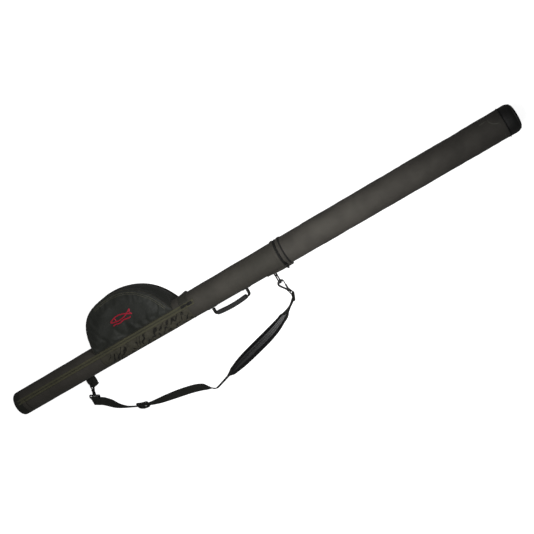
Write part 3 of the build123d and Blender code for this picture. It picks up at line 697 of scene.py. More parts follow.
    def long_zip(self) -> None:
        """Both tapes of the long zip with their stitching, and their rows of teeth."""
        up = self.zip_point(np.zeros(1), np.zeros(1), np.zeros(1))[0]
        up = up / np.linalg.norm(up)
        sides = (
            ("long_zip_tape", "long_tape", np.linspace(-self.tape_half, self.tape_half, 15), Body.CASE),
            ("flap_zip_tape", "flap_tape", np.linspace(-self.tape_half, 0, 8), Body.FLAP),
        )
        for name, node, offset, body in sides:
            whole = body is Body.CASE
            ends = (self.zip_start, self.zip_end) if whole else (self.flap_start, self.flap_end)
            stops = [ends[1], self.flap_start, self.flap_end]
            x = np.unique(np.round(np.r_[np.arange(ends[0], ends[1], 3.0), stops], 3))
            gx, go = np.meshgrid(x, offset, indexing="ij")
            level = -0.55 + 0.45 * smooth(np.abs(go), 1.5, 3.0) - 0.5 * smooth(np.abs(go), 5.5, 7.0)
            mx, mo = (x[:-1] + x[1:])[:, None] / 2, (offset[:-1] + offset[1:])[None] / 2
            keep = (mo > 0) | (mx < self.flap_start) | (mx > self.flap_end) if whole else None
            piece = Maker.grid(name, self.zip_point(gx, go, level), keep=keep, flip=True)
            Dresser.finish(piece, TAPE, body, "zip_tape", (node,), thick=0.7)
        teeth = (
            ("long_zip_teeth", "long_teeth", 0.78, 0.0, (self.zip_start, self.zip_end), Body.CASE),
            ("flap_zip_teeth", "flap_teeth", -0.78, 1.2, (self.flap_start, self.flap_end), Body.FLAP),
        )
        for name, node, side, shift, ends, body in teeth:
            x = np.arange(ends[0] + 1 + shift, ends[1] - 1, 2.4)
            centre = self.zip_point(x, np.full(len(x), side), np.full(len(x), 0.2))
            along = np.broadcast_to([1.0, 0, 0], centre.shape)
            piece = Maker.copies(name, centre, along, np.broadcast_to(up, centre.shape), (1.6, 1.45, 1.3))
            Dresser.finish(piece, OLIVE_COIL, body, "zip_teeth", (node,))
        for name, side, body, ends in (
            ("zip_stitch_pouch_side", 5.2, Body.CASE, (self.zip_start, self.zip_end)),
            ("zip_stitch_flap_side", -5.2, Body.FLAP, (self.flap_start, self.flap_end)),
        ):
            x = np.linspace(ends[0] + 2, ends[1] - 2, 60)
            row = self.zip_point(x, np.full(60, side), np.full(60, 0.0))
            Dresser.stitches(name, row, up, THREAD, body, "zip_tape")

    def butt_cap(self) -> None:
        """Rounded cap over the butt, in an olive darker than the sleeve as painted shade at the end."""
        out, inside, r = -LOWER_LENGTH, -913.6, 36.2
        bend = np.radians([20, 40, 60, 80])
        profile = np.concatenate(
            [
                [[inside, 0.5], [out, 0.5], [out, 10.0], [out + 0.4, 18.0], [out + 1.4, 24.5]],
                np.array([out + 9, r - 7.5]) + 7.5 * np.stack([-np.cos(bend), np.sin(bend)], -1),
                [[-905, r + 0.05], [-895, r + 0.1], [-891, r], [-890, r - 0.7]],
                [[-890.2, r - 2.4], [-900, r - 2.6]],
                [[inside, r - 3.0]],
            ]
        )
        piece = Maker.lathe("butt_cap_cloth", profile[::-1], 96)
        Dresser.finish(piece, BUTT, Body.CASE, "cap_fabric", ("butt_cap",))

    def end_patch(self) -> None:
        """Stiffened patch where the pouch ends."""
        turn = np.linspace(-110, -20.5, 40)
        x = np.linspace(self.patch_start, self.patch_end, 14)
        gx, gt = np.meshgrid(x, turn, indexing="ij")
        edge = smooth(gx, x[0], x[0] + 3) * smooth(-gx, -x[-1], -x[-1] + 3)
        edge = edge * smooth(-gt, -turn[-1], -turn[-1] + 4)
        stand = 1.5 + 3.6 * smooth(gx, -318, -294) * smooth(-np.abs(gt + 78), -34, -14)
        points = on_tube(gx, gt, sleeve_radius(gx) + 0.2 + stand * edge)
        piece = Maker.grid("end_patch_cloth", points, flip=True)
        Dresser.finish(piece, TRIM, Body.CASE, "binding", ("end_patch",), thick=1.3)
        seam = self.patch_end - 4.5
        row = on_tube(np.full(30, seam), np.linspace(-105, -25, 30), sleeve_radius(seam) + 4.4)
        Dresser.stitches("end_patch_stitches", row, row * [0, 1, 1], DARK_THREAD, Body.CASE, "binding")


# ---------------------------------------------------------------- the upper half


@dataclass
class UpperTube:
    """The upper half: straight sleeve, patch piping, cap and its piping."""

    start: float = 1.0
    end: float = 688.0
    radius: float = 40.0
    fuller: float = 0.6

    def sleeve(self) -> None:
        """Straight padded sleeve with slow waves, never outside its nominal radius."""
        x = np.linspace(self.start, self.end, 210)
        turn = np.arange(-180, 180, 3.75)
        gx, gt = np.meshgrid(x, turn, indexing="ij")
        calm = smooth(gx, 1, 24) * smooth(-gx, -self.end, 18 - self.end)
        arc = gt * 0.7
        height = np.minimum(0.35 * waves(gx, arc, 110, 21) + 0.2 * waves(gx, arc, 34, 22) - 0.35, 0)
        near = -0.75 * (1 - smooth(gx, 4.5, 6.0))
        points = on_tube(gx, gt, self.radius + self.fuller + height * calm + near)
        points[..., 2] = np.maximum(points[..., 2], FLOOR)
        piece = Maker.grid("upper_sleeve_cloth", points, close_j=True, flip=True)
        # Painted shade: darker towards the cap end, where the light falls off, plus faint mottled stains
        painted_shade_and_stains = 0.5 * smooth(gx, 330, 680) + 0.14 * smooth(waves(gx, gt * 0.7, 70, 23), 0.0, 1.2)
        Dresser.paint_shade_and_stains(piece, painted_shade_and_stains)
        Dresser.finish(piece, SLEEVE_STAINS_AND_PAINTED_LIGHT, Body.UPPER, "sleeve_fabric", ("upper_sleeve",), thick=SLEEVE_WALL)

    def patch_piping(self) -> None:
        """Raised line that turns a rounded corner near the cap, as the edge of a patch; lighter than the
        sleeve as a painted highlight.
        """
        corner = np.linspace(0, math.pi / 2, 14)
        turn = np.r_[np.full(12, -40.0), -40 + 32 * np.sin(corner), np.linspace(-6, 88, 26)]
        x = np.r_[np.linspace(628, 652, 12), 652 + 22 * (1 - np.cos(corner)), np.full(26, 674.5)]
        path = resample(on_tube(x, turn, self.radius), 2.0)
        piece = Maker.sweep("painted_highlight_piping", path, path * [0, 1, 1], ellipse(1.0, 0.55, 8))
        Dresser.finish(piece, PAINTED_HIGHLIGHT_LINE, Body.UPPER, "piping")

    def cap(self) -> None:
        """Rounded black cap, its piping, and the seam row beside it."""
        r, shoulder, swell, drop = 40.6, 704.5, 20.8, 18.5
        u = np.linspace(0, 1, 15)
        dome = np.stack([shoulder + swell * u, r - drop * (1 - np.sqrt(1 - u**2))], -1)
        inner = [[718.6, 0.5], [718.6, r - 4.6], [700, r - 2.6], [689, r - 2.6]]
        lip = [[688.2, r - 0.8], [689.5, r - 0.1], [698.0, r]]
        crown = [[shoulder + swell + 0.8, 12.0], [shoulder + swell + 1, 0.5]]
        profile = np.concatenate([inner, lip, dome, crown])
        piece = Maker.lathe("top_cap_cloth", profile[::-1], 128, FLOOR)
        Dresser.finish(piece, CAP, Body.UPPER, "cap_fabric", ("top_cap",))
        section = np.array([686.6, 41.1]) + ellipse(1.2, 1.2, 10)
        cord = Maker.lathe("top_piping_cord", section, 128, FLOOR)
        Dresser.finish(cord, CAP, Body.UPPER, "piping", ("top_piping",))


# ---------------------------------------------------------------- where the halves meet


@dataclass
class MouthRing:
    """Bindings, tapes, teeth and fabric hinge where the halves zip together."""

    radius: float = 40.3
    low_turn: float = -244.0
    high_turn: float = 64.0
    upper_low: float = -224.0
    upper_high: float = 44.0
    ridge_middle: float = 10.5
    ridge_half: float = 5.0

    def bindings(self) -> None:
        """Padded ridges either side of the zip, with a shallow stitch groove in each."""
        t = np.linspace(0, math.pi, 15)
        for name, node, side, body in (
            ("binding_lower_cloth", "binding_lower", -1, Body.CASE),
            ("binding_upper_cloth", "binding_upper", 1, Body.UPPER),
        ):
            crown = 39.4 + 2.5 * np.sin(t) ** 0.55
            crown -= 1.5 * np.exp(-((np.cos(t) * 5 - 2.6 * side) ** 2) / 0.8)
            x = side * self.ridge_middle + self.ridge_half * np.cos(t)
            middle = side * self.ridge_middle
            foot = [[middle - self.ridge_half, 38.6], [middle + self.ridge_half, 38.6]]
            profile = np.concatenate([np.stack([x, crown], -1), foot])
            piece = Maker.lathe(name, profile, 144, FLOOR)
            Dresser.finish(piece, SLEEVE, body, "binding", (node,))
        seam = np.array([[10.6, 41.0], [11.2, 42.2], [14.9, 42.2], [15.5, 40.4]])
        seam_piece = Maker.lathe("binding_seam", seam[::-1], 144, FLOOR)
        Dresser.finish(seam_piece, DARK_TAPE, Body.UPPER, "binding")

    def tapes(self) -> None:
        """Tapes and teeth of the ring zip."""
        for tag, side, low, high, body in (
            ("lower", -1, self.low_turn, self.high_turn, Body.CASE),
            ("upper", 1, self.upper_low, self.upper_high, Body.UPPER),
        ):
            turn = np.linspace(low, high, 110)
            x = side * np.linspace(1.2, 5.9, 6)
            gx, gt = np.meshgrid(x, turn, indexing="ij")
            points = on_tube(gx, gt, 39.75 + 0 * gx)
            piece = Maker.grid("ring_zip_tape_" + tag, points, flip=side > 0)
            Dresser.finish(piece, DARK_TAPE, body, "zip_tape", ("ring_tape_" + tag,), thick=0.7)
            turn = np.arange(low + 1, high - 1, 3.4) + (0 if side > 0 else 1.7)
            centre = on_tube(np.full(len(turn), side * 0.8), turn, 40.4)
            centre[:, 2] = np.maximum(centre[:, 2], FLOOR + 0.7)
            along = on_tube(np.zeros(len(turn)), turn + 90, 1.0)
            up = on_tube(np.zeros(len(turn)), turn, 1.0)
            piece = Maker.copies("ring_zip_teeth_" + tag, centre, along, up, (1.6, 1.35, 1.5))
            Dresser.finish(piece, COIL, body, "zip_teeth", ("ring_teeth_" + tag,))

    def hinge(self) -> None:
        """Fabric hinge between the halves."""
        x = np.linspace(-66, 15.5, 83)
        z = np.linspace(-15, 15, 21)
        gx, gz = np.meshgrid(x, z, indexing="ij")
        hump = smooth(-np.abs(gz), -15, -3)
        lift = 0.6 + (0.4 + 3.2 * smooth(gx, -66, -16)) * hump - 0.45 * np.exp(-(gx**2) / 3)
        y = -np.sqrt(40.6**2 - gz**2) - lift
        piece = Maker.grid("fold_web_cloth", np.stack([gx, y, gz], -1))
        Dresser.finish(piece, SLEEVE, None, "binding", ("fold_hinge", "fold_web"), thick=1.1)
        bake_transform(piece)


# ---------------------------------------------------------------- the reel pouch


@dataclass
class Pouch:
    """The padded reel pouch: simulated shell, back, lining, piping, seams and emblem."""

    start: float = -616.0
    end: float = -324.0
    face_end: float = -343.0
    reach: float = 142.0
    edge: float = 13.2
    top: float = 40.0
    shape: tuple[tuple[float, float], ...] = (
        (0.058, 0.62), (0.145, 0.84), (0.26, 0.95), (0.42, 1.0), (0.64, 0.94), (0.82, 0.71), (0.945, 0.36),
    )
    voxel: float = 4.5
    travel: float = 7.0

    def outline(self, end: float, count: int = 120, inset: float = 0.0) -> np.ndarray:
        """Plan outline from the start round to the end, moved inwards by inset."""
        inner = [(self.start + a * (end - self.start), b * self.reach) for a, b in self.shape]
        line = spline(np.array([(self.start, self.edge), *inner, (end, self.edge)]), count)
        if inset:
            along = np.gradient(line, axis=0)
            along /= np.linalg.norm(along, axis=1, keepdims=True)
            line = line + inset * np.stack([along[:, 1], -along[:, 0]], -1)
        return line

    def block(self):
        """Closed block between the face and the back, hollowed where the tube lies."""
        face, back = self.outline(self.face_end), self.outline(self.end)
        level = np.array([self.top - 1.0, 20.0, 0.0, -20.0, FLOOR + 2.2])
        share = np.linspace(0, 1, len(level))[:, None, None]
        plan = face[None] * (1 - share) + back[None] * share
        points = np.concatenate([plan, np.broadcast_to(level[:, None, None], (*plan.shape[:2], 1))], -1)
        solid = Maker.grid("pouch_shell_cloth", points, close_j=True, ends=True)
        turn = np.arange(96) * 360 / 96
        x = np.array([-700.0, -250.0])
        room = on_tube(x[:, None], turn[None], sleeve_radius(x)[:, None] + 0.6)
        tube = Maker.grid("tube_room", room, close_j=True, ends=True)
        cut = solid.modifiers.new("Room", "BOOLEAN")
        cut.operation, cut.object, cut.solver = "DIFFERENCE", tube, "EXACT"
        even = solid.modifiers.new("Even", "REMESH")
        even.mode, even.voxel_size = "VOXEL", self.voxel * MM
        self.bake(solid)
        bpy.data.objects.remove(tube)
        return solid

    @staticmethod
    def bake(piece) -> None:
        """Applies a piece's modifiers at the current frame."""
        graph = bpy.context.evaluated_depsgraph_get()
        graph.update()
        made = bpy.data.meshes.new_from_object(piece.evaluated_get(graph))
        piece.modifiers.clear()
        piece.data = made

    def shell(self):
        """Shell blown up a little by a cloth simulation, its seams and back held in place."""
        piece = self.block()
        count = len(piece.data.vertices)
        rest = np.empty(count * 3)
        piece.data.vertices.foreach_get("co", rest)
        rest = rest.reshape(-1, 3) / MM
        rim = self.outline(self.face_end, 240)
        near = np.empty(count)
        for chunk in np.array_split(np.arange(count), 12):
            gap = rest[chunk][:, None, :2] - rim[None]
            near[chunk] = np.sqrt((gap**2).sum(-1)).min(1)
        radius = np.hypot(rest[:, 1], rest[:, 2])
        held = (radius < 42.0) | (near < 9.0) & (rest[:, 2] > 20) | (rest[:, 2] < FLOOR + 5)
        held |= (rest[:, 2] > self.top - 5) & (near < 5.5)
        held |= rest[:, 1] < self.edge + 2.5
        group = piece.vertex_groups.new(name="held")
        group.add([int(i) for i in np.flatnonzero(held)], 1.0, "REPLACE")
        cloth = piece.modifiers.new("Cloth", "CLOTH")
        cloth.settings.vertex_group_mass = "held"
        cloth.settings.use_pressure = True
        cloth.settings.uniform_pressure_force = 3.0
        cloth.settings.shrink_min = -0.035
        cloth.settings.tension_stiffness = cloth.settings.compression_stiffness = 12
        cloth.settings.bending_stiffness = 0.4
        cloth.settings.effector_weights.gravity = 0.0
        cloth.settings.quality = 6
        cloth.point_cache.frame_start, cloth.point_cache.frame_end = 1, 20
        for frame in range(1, 21):
            bpy.context.scene.frame_set(frame)
        self.bake(piece)
        bpy.context.scene.frame_set(1)
        now = np.empty(count * 3)
        piece.data.vertices.foreach_get("co", now)
        moved = now.reshape(-1, 3) / MM - rest
        size = np.linalg.norm(moved, axis=1, keepdims=True)
        moved *= np.minimum(1, self.travel / np.maximum(size, 1e-6))
        slack = smooth(near, 3, 40) * (rest[:, 2] > self.top - 6)
        drag = rest[:, 0] * 0.45 - rest[:, 1] * 0.9
        fold = waves(drag, 0.25 * rest[:, 1], 34, 5, 5) * smooth(-rest[:, 0], 430, 560)
        moved[:, 2] += slack * (2.5 * fold + 0.7 * waves(rest[:, 0], rest[:, 1], 60, 6))
        final = rest + moved
        final[:, 2] = np.maximum(final[:, 2], FLOOR + 1.8)
        self.open_side(piece, final, radius - sleeve_radius(rest[:, 0]))
        smoother = piece.modifiers.new("Fine", "SUBSURF")
        smoother.levels = smoother.render_levels = 1
        Dresser.finish(piece, POUCH, Body.CASE, "pouch_fabric", ("pouch_shell",), thick=2.0)
        return piece

    @staticmethod
    def open_side(piece, final: np.ndarray, gap: np.ndarray) -> None:
        """Sets the final vertices and leaves out the faces that would close off the tube."""
        data = piece.data
        count = len(data.polygons)
        total = np.empty(count, np.int32)
        data.polygons.foreach_get("loop_total", total)
        corner = np.empty(len(data.loops), np.int32)
        data.loops.foreach_get("vertex_index", corner)
        inner = (gap < 1.7).astype(float)
        starts = np.r_[0, np.cumsum(total)[:-1]]
        share = np.add.reduceat(inner[corner], starts) / total
        faces = []
        for sides in np.unique(total):
            rows = np.flatnonzero((total == sides) & (share < 0.99))
            faces.append(corner[starts[rows][:, None] + np.arange(sides)])
        fresh = Maker.mesh(piece.name + "_open", final, [f for f in faces if len(f)])
        piece.data = fresh.data
        bpy.data.objects.remove(fresh)

    def drape(self, shell, plan: np.ndarray, lift: float) -> np.ndarray:
        """Points lift above the shell's face over the given plan points."""
        graph = bpy.context.evaluated_depsgraph_get()
        tree = BVHTree.FromObject(shell, graph)
        down, start = Vector((0, 0, -1)), 0.2
        hits = [tree.ray_cast(Vector((p[0] * MM, p[1] * MM, start)), down)[0] for p in plan]
        height = np.array([h.z / MM if h is not None else np.nan for h in hits])
        height = np.where(np.isnan(height) | (height < self.top - 12), self.top - 1, height)
        return np.c_[plan, height + lift]

    @staticmethod
    def hug(shell, path: np.ndarray, lift: float) -> np.ndarray:
        """Points of the path moved to the nearest place on the shell, lift outside it."""
        tree = BVHTree.FromObject(shell, bpy.context.evaluated_depsgraph_get())
        near = [tree.find_nearest(Vector(p * MM)) for p in path]
        return np.array([np.array(place) / MM + lift * np.array(normal) for place, normal, _, _ in near])

    def trims(self, shell) -> None:
        """Piping round the face and along the tube, the face's double seam, the back and the lining."""
        straight = np.linspace((self.face_end, self.edge), (self.start, self.edge), 60)[1:-1]
        rim = np.concatenate([self.outline(self.face_end, 150), straight])
        path = np.c_[rim, np.full(len(rim), self.top - 0.4)]
        path = self.hug(shell, resample(path, 2.5), 0.4)
        cord = Maker.sweep("pouch_piping_cord", path, UP, ellipse(1.5, 1.5, 10))
        Dresser.finish(cord, TRIM, Body.CASE, "piping", ("pouch_piping",))
        back = self.outline(self.end, 150)
        low = np.c_[back, np.full(len(back), FLOOR + 2.2)]
        cord = Maker.sweep("pouch_back_piping", resample(low, 2.5), UP, ellipse(1.4, 1.4, 10))
        Dresser.finish(cord, TRIM, Body.CASE, "piping")
        level = np.array([FLOOR + 2.0, FLOOR + 1.2, FLOOR])
        inset = (0.0, 0.0, 1.2)
        rings = [np.c_[self.outline(self.end, 120, i), np.full(120, z)] for i, z in zip(inset, level)]
        Dresser.finish(
            Maker.grid("pouch_back_cloth", np.array(rings), close_j=True, ends=True, flip=True),
            TRIM, Body.CASE, "pouch_fabric", ("pouch_back",),
        )
        wall = np.array([FLOOR + 6.4, FLOOR + 2.4])
        lining = [np.c_[self.outline(self.end, 120, 12.0), np.full(120, z)] for z in wall]
        Dresser.finish(
            Maker.grid("pouch_lining", np.array(lining)[:, 8:-8], close_j=True, ends=True, flip=True),
            LINING, Body.CASE, "foam", ("pouch_foam",),
        )
        for name, inset, count, part, lift, thread in (
            ("face_seam_0", 9.0, 200, slice(70, 190), 0.15, THREAD),
            ("face_seam_1", 13.5, 200, slice(70, 190), 0.15, THREAD),
            ("rim_seam_0", 3.6, 240, slice(6, -6), 0.1, DARK_THREAD),
        ):
            line = self.outline(self.face_end, count, inset)[part]
            row = self.drape(shell, resample(line, 3.0), lift)
            Dresser.stitches(name, row, UP, thread, Body.CASE, "embroidery")

    def emblem(self, shell) -> None:
        """A plain stitched fish outline with waves below it, in red thread."""
        t = np.linspace(0, 1, 40)
        size, middle = np.array([1.34, 1.08]), np.array([-487.0, 70.0])
        belly = 7.5 * np.sin(math.pi * t) ** 0.8
        back_line = np.stack([-26 + 42 * t, belly], -1)
        belly_line = np.stack([16 - 42 * t, -0.8 * belly[::-1]], -1)
        tail = np.array([(16, 0), (27, 8), (23, 0), (27, -7), (16, 0)], float)
        gill = np.stack([-15 + 2.5 * np.sin(math.pi * t), 5.5 - 11 * t], -1)
        wave = np.stack([-24 + 46 * t, -11.5 + 1.4 * np.sin(t * 4 * math.pi)], -1)
        strokes = (back_line, belly_line, tail, gill, wave)
        for k, stroke in enumerate(strokes):
            plan = resample(stroke, 1.2) * size + middle
            path = self.drape(shell, plan, 0.2)
            piece = Maker.sweep(f"emblem_stroke_{k}", path, UP, ellipse(1.75, 0.7, 8))
            Dresser.finish(piece, RED_THREAD, Body.CASE, "embroidery", ("emblem",))


# ---------------------------------------------------------------- carrying parts


@dataclass
class Handle:
    """Webbing carry handle with a moulded grip and stitched anchors."""

    start: float = -252.0
    end: float = -134.0
    width: float = 20.0
    strip: float = 5.6
    pivot: float = -42.28
    grip: float = -58.78
    grip_middle: float = -196.0
    grip_half: float = 48.6
    anchors: tuple[float, float] = (-250.2, -135.8)

    def build(self) -> None:
        """Loop, grip and the two anchor patches."""
        left, right = self.start + self.strip / 2, self.end - self.strip / 2
        corner = np.linspace(0, math.pi / 2, 9)
        r = 7.0
        path = np.concatenate(
            [
                [(left, self.pivot + 2.2)],
                np.stack([left + r - r * np.cos(corner), self.grip + r - r * np.sin(corner)], -1),
                np.stack([right - r + r * np.sin(corner), self.grip + r - r * np.cos(corner)], -1),
                [(right, self.pivot + 2.2)],
            ]
        )
        path = resample(np.c_[path, np.zeros(len(path))], 1.6)
        strap = Maker.sweep("handle_strap", path, UP, band(self.strip, self.width))
        Dresser.finish(strap, WEB, Body.HANDLE, "webbing", ("handle_web",))
        x = self.grip_middle + self.grip_half * np.linspace(-1, 1, 49)
        u = (x - self.grip_middle) / self.grip_half
        bow = -5.0 * (1 - u**2)
        full = np.clip(1 - np.abs(u) ** 10, 0.0, 1) ** 0.5
        scale = 0.82 + 0.18 * full
        path = np.stack([x, self.grip + bow * 0.7 + 1.8, 0 * x], -1)
        section = band(14.0, 25.5, 3.2, 28)[None] * scale[:, None, None]
        ridge = 1 + 0.035 * np.cos(x * 2 * math.pi / 6.5)[:, None, None] * (np.abs(u) < 0.85)[:, None, None]
        piece = Maker.sweep("handle_grip_cover", path, UP, section * ridge)
        Dresser.finish(piece, RUBBER, Body.HANDLE, "grip_rubber", ("handle_grip",))
        for tag, mid in zip("ab", self.anchors):
            x = np.linspace(mid - 13, mid + 13, 14)
            z = np.linspace(-10, 10, 11)
            gx, gz = np.meshgrid(x, z, indexing="ij")
            hump = 2.6 * np.exp(-(((gx - mid) / 3.2) ** 2)) * smooth(-np.abs(gz), -10.1, -8.5)
            y = -np.sqrt(sleeve_radius(gx) ** 2 - gz**2) - 1.4 - hump * 0.3
            piece = Maker.grid("handle_anchor_patch_" + tag, np.stack([gx, y, gz], -1))
            Dresser.finish(piece, WEB, Body.CASE, "webbing", ("handle_anchor_" + tag,), thick=1.3)
            for side in (-1, 1):
                zz = np.linspace(-8.5, 8.5, 8)
                xx = np.full(8, mid + side * 9.5)
                row = np.stack([xx, -np.sqrt(sleeve_radius(xx) ** 2 - zz**2) - 1.6, zz], -1)
                name = f"anchor_stitches_{tag}_{'in' if side > 0 else 'out'}"
                Dresser.stitches(name, row, np.array([0, -1.0, 0.01]), THREAD, Body.CASE, "webbing", 2.0)


@dataclass
class Tabs:
    """Webbing tabs that hold the two strap rings against the tube."""

    thick: float = 1.6
    width: float = 18.0
    lower_x: float = -684.0
    lower_z: float = -13.0
    upper_x: float = -48.0
    upper_z: float = -16.0

    def loop(self, name: str, node: str, root: np.ndarray, bar: np.ndarray, across: np.ndarray) -> None:
        """A folded webbing loop from its roots on the sleeve round a ring's bar.

        Args:
            name: Piece name.
            node: The CAD node that it stands for.
            root: Middle of the loop's root on the sleeve.
            bar: Middle of the ring's bar.
            across: Direction of the webbing's width, which is the bar's direction.
        """
        across = across / np.linalg.norm(across)
        out = bar - root
        reach = np.linalg.norm(out)
        out = out / reach
        side = np.cross(across, out)
        r = 1.8 + 0.1 + self.thick / 2
        t = np.linspace(-math.pi / 2, math.pi / 2, 15)
        bend = np.stack([reach + r * np.cos(t), r * np.sin(t)], -1)
        flat = np.concatenate([[(0, -r * 0.9)], bend, [(0, r * 0.9)]])
        flat = resample(flat, 1.5)
        path = root + flat[:, :1] * out + flat[:, 1:] * side
        piece = Maker.sweep(name, path, across, band(self.thick, self.width))
        Dresser.finish(piece, WEB, Body.CASE, "webbing", (node,))

    def build(self) -> None:
        """Both tabs."""
        z = self.lower_z
        root, bar = np.array([self.lower_x, -34.2, z]), np.array([self.lower_x, -40.7, z])
        self.loop("lower_tab_web", "lower_tab", root, bar, np.array([1.0, 0, 0]))
        x = np.linspace(-698, -668, 31)
        v = np.linspace(0, 1, 26)
        gx, gv = np.meshgrid(x, v, indexing="ij")
        bulge = np.sin(math.pi * np.clip(gv * 1.02, 0, 1)) ** 0.5
        round_end = np.sqrt(np.clip(1 - ((gx + 680.0) / 18.5) ** 4, 0, 1))
        y = -33.0 - (11 + 22 * round_end - 0.18 * (gx + 683)) * gv
        z = -12.5 + 5.6 * bulge + 1.4 * waves(gx, y, 14, 31) * bulge
        tail = Maker.grid("lower_tab_tail", np.stack([gx, y, z], -1), flip=True)
        Dresser.finish(tail, WEB, Body.CASE, "webbing", thick=1.4)
        z = self.upper_z
        root, bar = np.array([self.upper_x, -32.0, z]), np.array([self.upper_x, -48.6, z])
        self.loop("upper_tab_web", "upper_tab", root, bar, UP)


@dataclass
class Strap:
    """The shoulder strap: one webbing that twists as it lies, its pad and its adjuster."""

    width: float = 25.0
    thick: float = 2.0
    lower_rise: float = 13.0
    upper_rise: float = 19.0
    adjuster_at: tuple[float, float] = (-590.0, -184.5)
    adjuster_lean: float = 50.0
    lower: tuple[tuple[float, float], ...] = (
        (-714, -103), (-692, -120), (-659, -151), (-617, -176), (-563, -193),
        (-500, -202), (-446, -211), (-408, -221), (-386, -233), (-372, -246), (-362, -244),
        (-340, -237), (-318, -230),
    )
    pad: tuple[tuple[float, float], ...] = (
        (-318, -230), (-266, -214.7), (-210, -200), (-150, -184), (-103, -166), (-76, -152),
    )
    upper: tuple[tuple[float, float], ...] = ((-76, -152), (-60, -143.7), (-46, -133.5), (-36, -123.5))
    # (distance along the webbing in mm, roll in degrees): 0 lies flat, 90 stands on edge
    rolls: tuple[tuple[float, float], ...] = (
        (0, 0), (22, 0), (50, 12), (80, 48), (105, 68), (150, 74), (175, 58), (215, 34),
        (262, 16), (318, 16), (344, 30), (360, 62), (372, 80), (400, 82), (436, 80), (455, 20), (480, 0),
        (640, 0), (668, 10), (684, 62), (704, 82), (740, 84),
    )

    @staticmethod
    def nurbs(name: str, plan: tuple[tuple[float, float], ...]) -> np.ndarray:
        """Points in mm along the level NURBS of these control points."""
        curve = bpy.data.curves.new(name, "CURVE")
        curve.dimensions = "3D"
        line = curve.splines.new("NURBS")
        line.points.add(len(plan) - 1)
        line.points.foreach_set("co", np.array([(x * MM, y * MM, 0, 1) for x, y in plan]).ravel())
        line.order_u, line.use_endpoint_u, line.resolution_u = 3, True, 24
        holder = bpy.data.objects.new(name, curve)
        bpy.context.scene.collection.objects.link(holder)
        bpy.context.view_layer.update()
        mesh = bpy.data.meshes.new_from_object(holder)
        points = np.empty(len(mesh.vertices) * 3)
        mesh.vertices.foreach_get("co", points)
        bpy.data.objects.remove(holder)
        bpy.data.meshes.remove(mesh)
        return points.reshape(-1, 3) / MM

    def centre(self) -> tuple[np.ndarray, np.ndarray]:
        """The webbing's centreline and its roll in radians at each point.

        The height is half the strap's projected thickness above the floor, so that it rests on it at
        any roll.
        """
        plans = (self.lower, self.pad, self.upper)
        legs = [self.nurbs(f"strap_leg_{k}", plan) for k, plan in enumerate(plans)]
        path = resample(np.concatenate([legs[0], legs[1][1:], legs[2][1:]]), 2.5)
        along = np.r_[0, np.cumsum(np.linalg.norm(np.diff(path, axis=0), axis=1))]
        knots = np.array(self.rolls, float)
        roll = np.interp(along, knots[:, 0], knots[:, 1])
        kernel = np.hanning(9) / np.hanning(9).sum()
        roll = np.radians(np.convolve(np.pad(roll, 4, mode="edge"), kernel, "valid"))
        rest = np.abs(np.sin(roll)) * self.width / 2 + np.abs(np.cos(roll)) * self.thick / 2
        path[:, 2] = FLOOR + 0.4 + rest
        first = smooth(-along, -26, 0)
        path[:, 2] = path[:, 2] * (1 - first) + first * (FLOOR + self.lower_rise)
        last = smooth(along, along[-1] - 30, along[-1])
        path[:, 2] = path[:, 2] * (1 - last) + last * (FLOOR + self.upper_rise)
        return path, roll

    def webbing(self):
        """The twisting webbing."""
        path, roll = self.centre()
        flat_side, up = Maker.frames(path, UP)
        turned = -np.sin(roll)[:, None] * flat_side + np.cos(roll)[:, None] * up
        strap = Maker.sweep("strap_webbing", path, turned, band(self.width, self.thick + 0.8, 6.0, 24))
        Dresser.finish(strap, WEB, Body.CASE, "webbing", ("strap_lower", "strap_upper"))
        return strap, path

    def loop_end(self, name: str, at: np.ndarray, out: np.ndarray, bar: np.ndarray):
        """The sewn loop that carries the webbing round a swivel's bar."""
        out, bar = out / np.linalg.norm(out), bar / np.linalg.norm(bar)
        side = np.cross(bar, out)
        side /= np.linalg.norm(side)
        r = 1.6 + 0.3 + self.thick / 2
        t = np.linspace(-math.pi / 2, math.pi / 2, 15)
        flat = np.concatenate([[(-20, -1.1)], np.stack([r * np.cos(t), r * np.sin(t)], -1), [(-20, 1.1)]])
        path = at + resample(flat, 1.5) @ np.stack([out, side])
        piece = Maker.sweep(name, path, bar, band(self.thick * 0.9, self.width - 1.0, 6.0, 20))
        roll = at + np.linspace(-10.2, 10.2, 15)[:, None] * bar[None]
        keeper = Maker.sweep(name + "_keeper", roll, side, ellipse(5.6, 3.4, 16))
        Dresser.finish(keeper, WEB, Body.CASE, "webbing")
        return Dresser.finish(piece, WEB, Body.CASE, "webbing")

